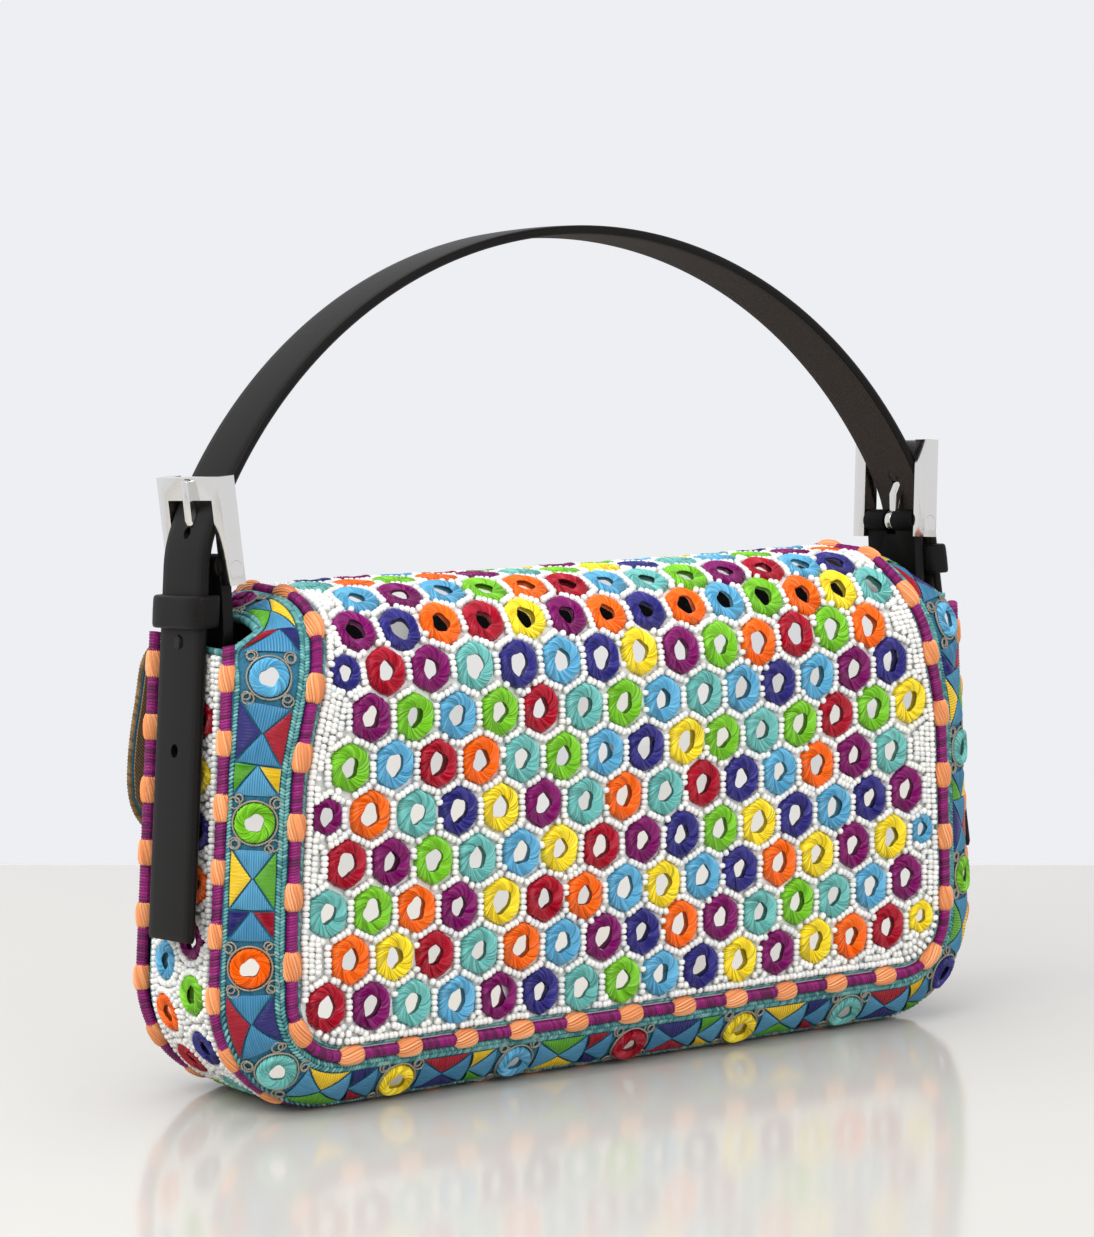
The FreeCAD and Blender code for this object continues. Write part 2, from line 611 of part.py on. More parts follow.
px, pz = VALUE["pin_x"], VALUE["pin_z"]
hw = VALUE["frame_w"] / 2.0
for side, s in (("left", -1.0), ("right", 1.0)):
    LEAN = FreeCAD.Placement(V3(0, 0, 0), FreeCAD.Rotation(V3(0, 1, 0), s * VALUE["frame_lean"]), V3(s * px, 0, pz))

    def placed(obj, lean=True):
        obj.Placement = (TILT.multiply(LEAN) if lean else TILT).multiply(obj.Placement)
        return obj

    # tab: two plies of leather round the buckle's pin, with a slot for the prong;
    # its lower end is round about the flex line
    t = S("tab_th")
    x0 = S("pin_x") - t
    x1 = S("pin_x") + t
    xa, xb = (-x1, -x0) if s < 0 else (x0, x1)
    plies = box("TabPlies" + side, xa, xb, -S("strap_w") / 2.0, S("strap_w") / 2.0, S("pivot_z"), S("pin_z"))
    foot = cyl("TabFoot" + side, S("strap_w") / 2.0, 2 * t, (s * px - VALUE["tab_th"], 0, PZ), (1, 0, 0))
    loop = cyl("TabLoop" + side, S("pin_rad") + 0.1 + t, S("strap_w"), (s * px, -VALUE["strap_w"] / 2.0, pz), (0, 1, 0))
    bore = cyl("TabBore" + side, S("pin_rad") + 0.02, 60.0, (s * px, -30.0, pz), (0, 1, 0))
    slot = box("TabSlot" + side, s * px - 12.0, s * px + 12.0, -2.2, 2.2, S("pin_z") - 4.2, S("pin_z") + 12.0)
    tab = cut("Tab" + side, cut("TabBored" + side, fuse("TabBlank" + side, [plies, foot, loop]), bore), slot)
    node(placed(tab, False), side + "_tab")

    # buckle: top bar and two side bars, the bar's back scooped out for the strap
    bz0, bz1 = S("pin_z") - S("frame_low"), S("pin_z") + S("frame_high")
    th = S("frame_th")
    fw = S("frame_w")
    fx0, fx1 = s * px - th / 2.0, s * px + th / 2.0
    blank = box("FrameBlank" + side, fx0, fx1, -fw / 2.0, fw / 2.0, bz0, bz1)
    window = box("FrameWindow" + side, s * px - 9.0, s * px + 9.0, -(fw / 2.0 - S("side_bar")), fw / 2.0 - S("side_bar"),
                 bz0 - 3.0, bz1 - S("top_bar"))
    inner = -s
    if inner < 0:
        sc0, sc1 = s * px - th / 2.0 - 1.0, s * px - th / 2.0 + 2.7
    else:
        sc0, sc1 = s * px + th / 2.0 - 2.7, s * px + th / 2.0 + 1.0
    scoop = box("FrameScoop" + side, sc0, sc1, -11.75, 11.75, bz1 - S("top_bar") - 2.0, bz1 + 2.0)
    if s > 0:
        nx0, nx1 = s * px + th / 2.0 - 1.2, s * px + th / 2.0 + 3.0
    else:
        nx0, nx1 = s * px - th / 2.0 - 3.0, s * px - th / 2.0 + 1.2
    notch = box("FrameNotch" + side, nx0, nx1, -1.5, 1.5, bz1 - S("top_bar") - 2.0, bz1 - 0.5)
    pin_bore = cyl("FramePinBore" + side, S("pin_rad"), 60.0, (s * px, -30.0, pz), (0, 1, 0))
    tools = fuse("FrameTools" + side, [window, scoop, notch, pin_bore])
    node(placed(cut("Buckle" + side, blank, tools)), side + "_buckle_frame")
    pin = cyl("BucklePin" + side, S("pin_rad"), S("frame_w") - 2.0, (s * px, -hw + 1.0, pz), (0, 1, 0))
    node(placed(pin), side + "_buckle_pin")

    # keeper: a loop of leather that holds the hanging end against the tab
    kx0, kx1 = 126.2, 135.6
    ka, kb = (s * kx0, s * kx1) if s > 0 else (s * kx1, s * kx0)
    kw = S("strap_w") / 2.0 + 0.7 + S("keeper_wall")
    ring = box("KeeperRing" + side, ka, kb, -kw, kw, S("keeper_low"), S("keeper_high"))
    ia0, ib0 = ka + VALUE["keeper_wall"], kb - VALUE["keeper_wall"]
    room = box("KeeperRoom" + side, ia0, ib0, -(kw - S("keeper_wall")), kw - S("keeper_wall"),
               S("keeper_low") - 2.0, S("keeper_high") + 2.0)
    node(placed(cut("Keeper" + side, ring, room), False), side + "_keeper")

    # prong: an eye on the pin and a shank bent out through the strap on to the top bar
    eye = cyl("ProngEye" + side, 3.2, S("prong_w"), (s * px, -VALUE["prong_w"] / 2.0, pz), (0, 1, 0))
    eye_hole = cyl("ProngEyeHole" + side, S("pin_rad") + 0.05, 20.0, (s * px, -10.0, pz), (0, 1, 0))
    pb = new_body("ProngShank" + side)
    ps = sketch(pb, "XZ_Plane", "ProngProfile" + side)
    pts = [(1.1, 2.0), (1.1, 7.4), (3.65, 13.0), (3.65, 23.9), (1.45, 23.9), (1.45, 13.6), (-1.1, 8.2), (-1.1, 2.0)]
    contour(ps, [(s * (S("pin_x") + u), S("pin_z") + v, "fix") for u, v in pts], [None] * len(pts))
    pad(pb, ps, "ProngShankPad" + side, S("prong_w"))
    prong = cut("Prong" + side, fuse("ProngBlank" + side, [eye, pb]), eye_hole)
    node(placed(prong), side + "_prong")


# ---- check and write ------------------------------------------------------------------

doc.recompute()
for obj in doc.Objects:
    bad = [st for st in obj.State if st in ("Invalid", "Error")]
    if bad:
        raise RuntimeError("object %s is %s" % (obj.Label, bad))
for obj in NODES:
    shape = obj.Shape
    if shape.isNull() or not shape.isValid():
        raise RuntimeError("shape of %s is not valid" % obj.Label)
    if not shape.Solids:
        raise RuntimeError("shape of %s has no solid" % obj.Label)

os.makedirs("parts", exist_ok=True)
for obj in NODES:
    obj.Shape.exportStep(os.path.join("parts", obj.Label + ".step"))
    bb = obj.Shape.BoundBox
    print("%-20s solids %d  vol %9.1f  x %.1f..%.1f  y %.1f..%.1f  z %.1f..%.1f" % (
        obj.Label, len(obj.Shape.Solids), obj.Shape.Volume, bb.XMin, bb.XMax, bb.YMin, bb.YMax, bb.ZMin, bb.ZMax))
print("fold lines", H1, H2, "nodes", len(NODES))
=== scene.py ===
import math

import bmesh
import bpy
import numpy as np
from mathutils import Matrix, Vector


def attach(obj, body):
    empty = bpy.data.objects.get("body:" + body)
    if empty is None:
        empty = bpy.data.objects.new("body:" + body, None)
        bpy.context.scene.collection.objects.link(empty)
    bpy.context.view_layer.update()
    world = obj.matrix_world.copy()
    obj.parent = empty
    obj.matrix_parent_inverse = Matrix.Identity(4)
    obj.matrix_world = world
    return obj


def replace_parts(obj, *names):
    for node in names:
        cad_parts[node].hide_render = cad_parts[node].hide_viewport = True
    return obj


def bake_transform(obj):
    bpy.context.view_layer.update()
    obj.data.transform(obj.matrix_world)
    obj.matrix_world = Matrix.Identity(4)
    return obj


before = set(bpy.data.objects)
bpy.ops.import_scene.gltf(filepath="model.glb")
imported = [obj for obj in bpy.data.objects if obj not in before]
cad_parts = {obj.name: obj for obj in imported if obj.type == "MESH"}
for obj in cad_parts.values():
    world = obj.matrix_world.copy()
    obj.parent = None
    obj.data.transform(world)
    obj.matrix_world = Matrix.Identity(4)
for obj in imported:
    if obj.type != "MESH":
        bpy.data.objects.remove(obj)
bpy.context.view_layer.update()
SC = bpy.context.scene
MM = 0.001
RNG = np.random.default_rng(7031)


def smooth(x):
    x = np.clip(x, 0.0, 1.0)
    return x * x * (3 - 2 * x)


# ---------------------------------------------------------------- materials
def lin(c):
    c = np.array(c, float) / 255.0
    c = np.where(c <= 0.04045, c / 12.92, ((c + 0.055) / 1.055) ** 2.4)
    return (float(c[0]), float(c[1]), float(c[2]), 1.0)


def mat(name, rgb, rough=0.5, metal=0.0, spec=0.5, coat=0.0, sheen=0.0, coat_rough=0.1):
    m = bpy.data.materials.new(name)
    m.use_nodes = True
    painted_shade = m.node_tree.nodes["Principled BSDF"]
    painted_shade.inputs["Base Color"].default_value = lin(rgb)
    painted_shade.inputs["Roughness"].default_value = rough
    painted_shade.inputs["Metallic"].default_value = metal
    painted_shade.inputs["Specular IOR Level"].default_value = spec
    if coat:
        painted_shade.inputs["Coat Weight"].default_value = coat
        painted_shade.inputs["Coat Roughness"].default_value = coat_rough
    if sheen:
        painted_shade.inputs["Sheen Weight"].default_value = sheen
        painted_shade.inputs["Sheen Roughness"].default_value = 0.4
    m.diffuse_color = lin(rgb)
    return m


def grain(m, rgb_a, rgb_b, scale, bump, dist=0.0002, detail=4.0, kind="noise", rough=None):
    """two-tone colour and a fine relief from one procedural texture in object space"""
    nt = m.node_tree
    painted_shade = nt.nodes["Principled BSDF"]
    co = nt.nodes.new("ShaderNodeTexCoord")
    if kind == "noise":
        tx = nt.nodes.new("ShaderNodeTexNoise")
        tx.inputs["Scale"].default_value = scale
        tx.inputs["Detail"].default_value = detail
        tx.inputs["Roughness"].default_value = 0.62
        out = tx.outputs["Fac"]
    elif kind == "voronoi":
        tx = nt.nodes.new("ShaderNodeTexVoronoi")
        tx.feature = "SMOOTH_F1"
        tx.inputs["Scale"].default_value = scale
        tx.inputs["Smoothness"].default_value = 0.6
        out = tx.outputs["Distance"]
    else:
        tx = nt.nodes.new("ShaderNodeTexWave")
        tx.bands_direction = "DIAGONAL"
        tx.inputs["Scale"].default_value = scale
        tx.inputs["Distortion"].default_value = 1.2
        tx.inputs["Detail"].default_value = 2.0
        tx.inputs["Detail Scale"].default_value = 3.0
        out = tx.outputs["Fac"]
    nt.links.new(co.outputs["Object"], tx.inputs["Vector"])
    ramp = nt.nodes.new("ShaderNodeValToRGB")
    ramp.color_ramp.elements[0].position = 0.3
    ramp.color_ramp.elements[1].position = 0.72
    ramp.color_ramp.elements[0].color = lin(rgb_a)
    ramp.color_ramp.elements[1].color = lin(rgb_b)
    nt.links.new(out, ramp.inputs["Fac"])
    nt.links.new(ramp.outputs["Color"], painted_shade.inputs["Base Color"])
    if bump:
        bp = nt.nodes.new("ShaderNodeBump")
        bp.inputs["Strength"].default_value = bump
        bp.inputs["Distance"].default_value = dist
        nt.links.new(out, bp.inputs["Height"])
        nt.links.new(bp.outputs["Normal"], painted_shade.inputs["Normal"])
    if rough:
        mr = nt.nodes.new("ShaderNodeMapRange")
        mr.inputs["To Min"].default_value = rough[0]
        mr.inputs["To Max"].default_value = rough[1]
        nt.links.new(out, mr.inputs["Value"])
        nt.links.new(mr.outputs["Result"], painted_shade.inputs["Roughness"])
    return m


BEAD = [
    mat("bead_white_a", (238, 237, 232), 0.22, coat=0.35),
    mat("bead_white_b", (225, 227, 226), 0.24, coat=0.35),
    mat("bead_white_c", (246, 245, 241), 0.2, coat=0.35),
]
TONES = {
    "sky": (96, 176, 214),
    "teal": (112, 190, 184),
    "yellow": (255, 226, 40),
    "lime": (124, 200, 36),
    "navy": (46, 42, 128),
    "crimson": (176, 0, 36),
    "plum": (128, 0, 98),
    "orange": (255, 108, 0),
}
TONE = list(TONES)
# thread tones: a and c are random tones of each colour; b, 0.78 times as dark, is mostly painted shade, laid on one
# side of every thread ridge and under the rim of the hole (see rings), and only now and then a random darker thread
THREAD = []
for tn, rgb in TONES.items():
    for k, f in enumerate((1.0, 0.78, 1.0)):
        c = [min(255, v * f + (14 if k == 2 else 0)) for v in rgb]
        THREAD.append(mat(f"thread_{tn}_{'abc'[k]}", c, 0.36, spec=0.5))
MIRROR = [
    mat("mirror_a", (250, 248, 243), 0.05, 1.0),
    mat("mirror_b", (236, 236, 234), 0.1, 1.0),
    mat("mirror_edge", (60, 58, 58), 0.5),
]
CORD = [
    mat("cord_plum_a", (122, 0, 92), 0.5),
    mat("cord_plum_b", (92, 0, 70), 0.52),
    mat("cord_plum_c", (142, 6, 108), 0.48),
]
# knot tones: a and c are random tones; the darker second one is painted shade for one side of each strand
KNOT = [
    mat("knot_peach_a", (230, 146, 90), 0.5),
    mat("knot_peach_painted_shade", (204, 122, 72), 0.5),
    mat("knot_peach_c", (242, 170, 118), 0.48),
]
BRAID = [
    mat("braid_teal_a", (90, 154, 154), 0.5),
    mat("braid_teal_b", (60, 120, 124), 0.52),
    mat("braid_teal_c", (122, 178, 175), 0.48),
]
FOLD = [
    mat("fold_brown_a", (124, 98, 68), 0.7, spec=0.25),
    mat("fold_brown_b", (104, 82, 56), 0.72, spec=0.25),
    mat("fold_brown_c", (138, 112, 80), 0.68, spec=0.25),
]
SATIN = []
for tn, rgb in (("blue", (78, 150, 188)), ("azure", (60, 132, 172)), ("red", (162, 2, 34)), ("navy", (36, 34, 110)), ("yellow", (240, 200, 34)), ("green", (88, 164, 36))):
    SATIN.append(mat(f"satin_{tn}_a", rgb, 0.36, spec=0.45))
    # second copy of each satin colour, 0.84 times as dark: painted shade for one side of every thread ridge
    SATIN.append(mat(f"satin_{tn}_b", [v * 0.84 for v in rgb], 0.4, spec=0.4))
SILVER = mat("silver_thread", (168, 160, 146), 0.36, 0.8)
CLOTH = grain(mat("ground_cloth", (236, 236, 233), 0.85, spec=0.2), (224, 224, 221), (244, 244, 241), 900.0, 0.4)
BANDCLOTH = grain(mat("band_cloth", (48, 108, 134), 0.8, spec=0.25), (38, 94, 120), (58, 120, 146), 900.0, 0.5)
LINING = grain(mat("lining_twill", (128, 102, 72), 0.78, spec=0.25), (104, 82, 58), (146, 120, 88), 620.0, 0.55, kind="wave")
LEATHER = grain(mat("strap_leather", (20, 17, 15), 0.45, spec=0.14), (14, 13, 12), (23, 21, 20), 2600.0, 0.22, 0.0001, kind="voronoi", rough=(0.4, 0.54))
# tab leather: the strap leather made darker as painted shade, so that the tab seen through the strap holes reads like a
# shadowed hole
TAB_LEATHER_PAINTED_SHADE = grain(mat("tab_leather_painted_shade", (9, 8, 8), 0.6, spec=0.1), (7, 6, 6), (12, 11, 10), 2600.0, 0.2, 0.0001, kind="voronoi")
EDGEPAINT = mat("leather_edge", (14, 12, 11), 0.42, spec=0.18)
SUEDE = grain(mat("leather_back", (52, 46, 43), 0.85, spec=0.2), (44, 38, 36), (64, 57, 53), 1800.0, 0.6)
METAL = mat("nickel", (230, 228, 224), 0.13, 1.0)
STEEL = grain(mat("snap_steel", (190, 188, 184), 0.22, 1.0), (178, 176, 172), (198, 196, 192), 500.0, 0.0, rough=(0.18, 0.3))
ZIPTAPE = grain(mat("zip_tape", (92, 74, 54), 0.8, spec=0.2), (78, 62, 44), (104, 86, 64), 900.0, 0.5, kind="wave")
COIL = mat("zip_coil", (84, 68, 50), 0.36)


# ---------------------------------------------------------------- mesh making
class Soup:
    """collects vertices (mm) and faces, and makes one mesh object (m)"""

    def __init__(self):
        self.V, self.L, self.N, self.M, self.U = [], [], [], [], []
        self.nv = 0

    def add(self, v, f, m=0, uv=None):
        v = np.asarray(v, float).reshape(-1, 3)
        f = np.asarray(f, int)
        self.V.append(v)
        self.L.append((f + self.nv).ravel())
        self.N.append(np.full(len(f), f.shape[1]))
        self.M.append(np.full(len(f), m) if np.isscalar(m) else np.asarray(m, int).ravel())
        self.nv += len(v)

    def instances(self, tv, tfs, rot, pos, m=0):
        """template tv with face arrays tfs, at every rotation and place"""
        n = len(pos)
        if n == 0:
            return
        v = np.einsum("nij,kj->nki", rot, tv) + pos[:, None, :]
        base = self.nv
        self.V.append(v.reshape(-1, 3))
        off = base + np.arange(n)[:, None, None] * len(tv)
        mm = np.broadcast_to(np.asarray(m, int), (n,))
        for tf in tfs:
            self.L.append((tf[None] + off).ravel())
            self.N.append(np.full(n * len(tf), tf.shape[1]))
            self.M.append(np.repeat(mm, len(tf)))
        self.nv += n * len(tv)

    def make(self, name, mats, flat=False, sharp=None):
        me = bpy.data.meshes.new(name)
        V = np.concatenate(self.V) * MM
        L = np.concatenate(self.L)
        N = np.concatenate(self.N)
        me.vertices.add(len(V))
        me.vertices.foreach_set("co", V.astype(np.float32).ravel())
        me.loops.add(len(L))
        me.loops.foreach_set("vertex_index", L.astype(np.int32))
        me.polygons.add(len(N))
        me.polygons.foreach_set("loop_start", (np.cumsum(N) - N).astype(np.int32))
        for m in mats:
            me.materials.append(m)
        me.polygons.foreach_set("material_index", np.concatenate(self.M).astype(np.int32))
        me.polygons.foreach_set("use_smooth", np.full(len(N), not flat))
        me.update(calc_edges=True)
        me.validate()
        if sharp:
            me.set_sharp_from_angle(angle=math.radians(sharp))
        ob = bpy.data.objects.new(name, me)
        SC.collection.objects.link(ob)
        return ob


def grid_faces(m, n, close_u=False, close_v=False, flip=False):
    """quads of an m x n vertex grid, row by row"""
    mi = np.arange(m if close_u else m - 1)
    ni = np.arange(n if close_v else n - 1)
    a, painted_shade = np.meshgrid(mi, ni, indexing="ij")
    a2, b2 = (a + 1) % m, (painted_shade + 1) % n
    f = np.stack([a * n + painted_shade, a2 * n + painted_shade, a2 * n + b2, a * n + b2], -1).reshape(-1, 4)
    return f[:, ::-1] if flip else f


def shell(sp, top, bot, m=0, mb=None, mr=None, flip=False):
    """closed sheet from two grids (m, n, 3): top faces, underside, and the rim between them"""
    a, painted_shade = top.shape[:2]
    f = grid_faces(a, painted_shade, flip=flip)
    v = np.concatenate([top.reshape(-1, 3), bot.reshape(-1, 3)])
    k = a * painted_shade
    idx = np.arange(k).reshape(a, painted_shade)
    ring = np.concatenate([idx[0, :-1], idx[:-1, -1], idx[-1, :0:-1], idx[:0:-1, 0]])
    nx = np.roll(ring, -1)
    side = np.stack([ring, nx, nx + k, ring + k], -1)
    if flip:
        side = side[:, ::-1]
    mb = m if mb is None else mb
    mr = m if mr is None else mr
    nf = len(f)
    if np.isscalar(m):
        m = np.full(nf, m)
    sp_v = sp.nv
    sp.add(v, f, m)
    sp.L.append((f[:, ::-1] + k + sp_v).ravel())
    sp.N.append(np.full(nf, 4))
    sp.M.append(np.full(nf, mb))
    sp.L.append((side + sp_v).ravel())
    sp.N.append(np.full(len(side), 4))
    sp.M.append(np.full(len(side), mr))


def unit(v):
    return v / np.maximum(np.linalg.norm(v, axis=-1, keepdims=True), 1e-9)


# ---------------------------------------------------------------- surfaces that the work is sewn on
class Panel:
    """cloth face: a (y, z) profile by arc length s, carried along x = p"""

    def __init__(self, S, Y, Z, sign, inset, bulge, sag):
        self.S, self.Y, self.Z, self.sign, self.inset = S, Y, Z, sign, inset
        ty, tz = np.gradient(Y, S), np.gradient(Z, S)
        self.ny, self.nz = -tz * sign, ty * sign
        self.bulge, self.sag = bulge, sag

    def base(self, p, s):
        y, z = np.interp(s, self.S, self.Y), np.interp(s, self.S, self.Z)
        ny, nz = np.interp(s, self.S, self.ny), np.interp(s, self.S, self.nz)
        painted_shade = self.bulge(p, s)
        return np.stack([p, y + painted_shade * ny, z + painted_shade * nz - self.sag(p, s)], -1)

    def frame(self, p, s):
        p, s = np.broadcast_arrays(np.asarray(p, float), np.asarray(s, float))
        e = 0.5
        tp = unit(self.base(p + e, s) - self.base(p - e, s))
        ts = unit(self.base(p, s + e) - self.base(p, s - e))
        n = unit(np.cross(tp, ts)) * self.sign
        return self.base(p, s) - self.inset * n, tp, ts, n

    def at(self, p, s, h=0.0):
        c, _, _, n = self.frame(p, s)
        return c + np.asarray(h, float)[..., None] * n


class Band:
    """border round a panel: t along its inner line, e across it, turning away from the face"""

    def __init__(self, panel, ps, closed, fL, fD):
        self.panel, self.closed = panel, closed
        d = np.linalg.norm(np.diff(ps, axis=0), axis=1)
        t = np.concatenate([[0], np.cumsum(d)])
        self.T = t[-1]
        n = int(self.T / 0.5)
        self.t = np.linspace(0, self.T, n)
        self.p, self.s = np.interp(self.t, t, ps[:, 0]), np.interp(self.t, t, ps[:, 1])
        k = np.hanning(13)
        k /= k.sum()

        def soft(a):
            q = np.concatenate([a[-13:-1], a, a[1:13]]) if closed else np.pad(a, 12, "edge")
            return np.convolve(q, k, "same")[12:-12]

        dp, ds = np.gradient(self.p, self.t), np.gradient(self.s, self.t)
        dp, ds = soft(dp), soft(ds)
        w = np.hypot(dp, ds)
        self.dp, self.ds = dp / w, ds / w
        L, D = fL(self.p, self.s, -self.dp), fD(self.p, self.s, -self.dp)
        self.L, self.D = soft(L), soft(np.maximum(D, 0.3))
        self.R = (self.L**2 + self.D**2) / (2 * self.D)
        self.E = 2 * self.R * np.arctan(self.D / self.L)

    def q(self, t, a):
        t = np.asarray(t, float)
        return np.interp(np.mod(t, self.T) if self.closed else t, self.t, a)

    def width(self, t):
        return self.q(t, self.E)

    def frame(self, t, e):
        t, e = np.broadcast_arrays(np.asarray(t, float), np.asarray(e, float))
        dp, ds = self.q(t, self.dp)[..., None], self.q(t, self.ds)[..., None]
        B, tp, ts, n = self.panel.frame(self.q(t, self.p), self.q(t, self.s))
        sg = 1.0
        A, O = unit(dp * tp + ds * ts), unit(ds * tp - dp * ts) * sg
        R = self.q(t, self.R)
        f = np.maximum(e, 0) / R
        c, s = np.cos(f)[..., None], np.sin(f)[..., None]
        R = R[..., None]
        pos = B + R * s * O - R * (1 - c) * n + np.minimum(e, 0)[..., None] * O
        return pos, A, c * O - s * n, c * n + s * O

    def at(self, t, e, h=0.0):
        c, _, _, n = self.frame(t, e)
        return c + np.asarray(h, float)[..., None] * n


def profile(parts, step=0.25):
    pts = []
    for kind, *a in parts:
        if kind == "line":
            (y0, z0), (y1, z1) = a
            n = max(2, int(math.hypot(y1 - y0, z1 - z0) / step))
            u = np.linspace(0, 1, n)[:, None]
            pts.append(np.array([[y0, z0]]) * (1 - u) + np.array([[y1, z1]]) * u)
        else:
            (cy, cz), r, a0, a1 = a
            n = max(3, int(abs(math.radians(a1 - a0)) * r / step))
            u = np.radians(np.linspace(a0, a1, n))
            pts.append(np.stack([cy + r * np.cos(u), cz + r * np.sin(u)], -1))
    P = np.concatenate(pts)
    keep = np.concatenate([[True], np.linalg.norm(np.diff(P, axis=0), axis=1) > 1e-6])
    P = P[keep]
    S = np.concatenate([[0], np.cumsum(np.linalg.norm(np.diff(P, axis=0), axis=1))])
    return S, P[:, 0], P[:, 1]


def wave(p, s):
    return 0.3 * np.sin(p / 17.0 + 0.7) * np.sin(s / 13.0 + 0.4) + 0.2 * np.sin(p / 31.0 - s / 23.0)


def bulge_back(p, s):
    e = 1 - np.clip(np.abs(p) / 118, 0, 1) ** 2
    return e * (1.5 * smooth(s / 45) * (1 - smooth((s - 95) / 45)) + 0.4 * smooth((s - 143) / 15) * (1 - smooth((s - 182) / 20))) + wave(p, s) * 0.8


def sag_back(p, s):
    return 0.4 * np.sin(p / 23.0 + 1.0) * smooth((s - 130) / 15) * (1 - smooth((s - 185) / 20))


def bulge_front(p, s):
    return 0.6 * (1 - np.clip(np.abs(p) / 118, 0, 1) ** 2) * smooth(s / 40) * (1 - smooth((s - 50) / 40)) + wave(p + 9, s) * 0.5


BS, BY, BZ = profile(
    [
        ("line", (-32, -6), (-32, 117)),
        ("arc", (-6, 117), 26, 180, 90),
        ("line", (-6, 143), (7, 143)),
        ("arc", (7, 117), 26, 90, 3.8),
        ("line", (32.94, 118.72), (36, 72)),
        ("line", (36, 72), (36.4, 66)),
    ]
)
BACK = Panel(BS - 6.0, BY, BZ, 1.0, 1.0, bulge_back, sag_back)
FS, FY, FZ = profile([("line", (28, -6), (28, 132))])
FRONT = Panel(FS - 6.0, FY, FZ, -1.0, 1.4, bulge_front, lambda p, s: 0.0 * p)

S_MID = 164.3
S_LO, S_HI, RC_LO, RC_HI = 16.5, 239.8, 17.0, 10.0
_sg = np.arange(-10, 290, 0.5)
_wi = np.interp(_sg, [0, 50, 96, 113, 126, 135, 144, 184, 212, 245], [117.5, 117.5, 115, 111, 107.8, 105.0, 103, 103, 109.5, 111.5])
_k = np.hanning(41)
_wi = np.convolve(np.pad(_wi, 20, "edge"), _k / _k.sum(), "valid")


def Wi(s):
    return np.interp(s, _sg, _wi)


def Xo(s):
    return 135 - 5.45 * (np.clip(s, 34.5, 140) - 34.5) / 93.5


def corner(cx, cs, r, a0, a1):
    u = np.radians(np.linspace(a0, a1, 40))
    return np.stack([cx + r * np.cos(u), cs + r * np.sin(u)], -1)


def side(s0, s1, sg):
    s = np.linspace(s0, s1, int(abs(s1 - s0) * 2))
    return np.stack([sg * Wi(s), s], -1)


cw, ch = Wi(S_LO + RC_LO) - RC_LO, Wi(S_HI - RC_HI) - RC_HI
LOOP = np.concatenate(
    [
        side(S_MID, S_LO + RC_LO, -1),
        corner(-cw, S_LO + RC_LO, RC_LO, 180, 270)[1:],
        corner(cw, S_LO + RC_LO, RC_LO, 270, 360),
        side(S_LO + RC_LO, S_HI - RC_HI, 1)[1:],
        corner(ch, S_HI - RC_HI, RC_HI, 0, 90)[1:],
        corner(-ch, S_HI - RC_HI, RC_HI, 90, 180),
        side(S_HI - RC_HI, S_MID, -1)[1:],
    ]
)


def loop_L(p, s, m):
    low = np.clip(np.abs(m), 0, 1) ** 2
    back = (Xo(s) - Wi(s)) * (1 - low) + 15.9 * low
    flap = (18.6 + 2.0 * smooth((s - 205) / 30)) * (1 - low) + 16.8 * low + 26.0 * low * (1 - low)
    a, painted_shade = smooth((s - 125) / 17), smooth((s - 187) / 26)
    return back * (1 - a) + 14.6 * a * (1 - painted_shade) + flap * painted_shade


def loop_D(p, s, m):
    low = np.clip(np.abs(m), 0, 1) ** 2
    a, painted_shade = smooth((s - 125) / 17), smooth((s - 187) / 26)
    return 9.4 * (1 - a) + 4.6 * a * (1 - painted_shade) + 1.3 * painted_shade


BB = Band(BACK, LOOP, True, loop_L, loop_D)
FLOOP = np.concatenate(
    [
        side(124, S_LO + RC_LO, -1),
        corner(-cw, S_LO + RC_LO, RC_LO, 180, 270)[1:],
        corner(cw, S_LO + RC_LO, RC_LO, 270, 360),
        side(S_LO + RC_LO, 124, 1)[1:],
    ]
)
FB = Band(
    FRONT,
    FLOOP,
    False,
    lambda p, s, m: (Xo(s) - Wi(s)) * (1 - np.clip(np.abs(m), 0, 1) ** 2) + 15.9 * np.clip(np.abs(m), 0, 1) ** 2,
    lambda p, s, m: 4.2 + 0 * p,
)


def inside(p, s, hi=S_HI, rhi=RC_HI):
    """distance from a point of the field to the inner cord, positive inside"""
    W = Wi(s)
    a = np.minimum(np.minimum(W - np.abs(p), s - S_LO), hi - s)
    qx, qs = np.abs(p) - (W - RC_LO), S_LO + RC_LO - s
    a = np.where((qx > 0) & (qs > 0), RC_LO - np.hypot(qx, qs), a)
    if rhi:
        qx, qs = np.abs(p) - (W - rhi), s - (hi - rhi)
        a = np.where((qx > 0) & (qs > 0), rhi - np.hypot(qx, qs), a)
    return a


# ---------------------------------------------------------------- sewn work
def barrel(n=8):
    a = np.arange(n) / n * 2 * np.pi
    rr, zz = [0.64, 1.12, 1.12, 0.64], [-0.8, -0.42, 0.42, 0.8]
    v = np.concatenate([np.stack([r * np.cos(a), r * np.sin(a), np.full(n, z)], -1) for r, z in zip(rr, zz)])
    return v, [grid_faces(4, n, close_v=True)[:, ::-1], np.array([np.arange(n)[::-1]]), np.array([np.arange(n) + 3 * n])]


BEAD_V, BEAD_F = barrel()


def rotation(ax, n):
    """columns: across, out of the cloth, along"""
    ax = unit(ax)
    x = unit(np.cross(n, ax))
    return np.stack([x, np.cross(ax, x), ax], -1)


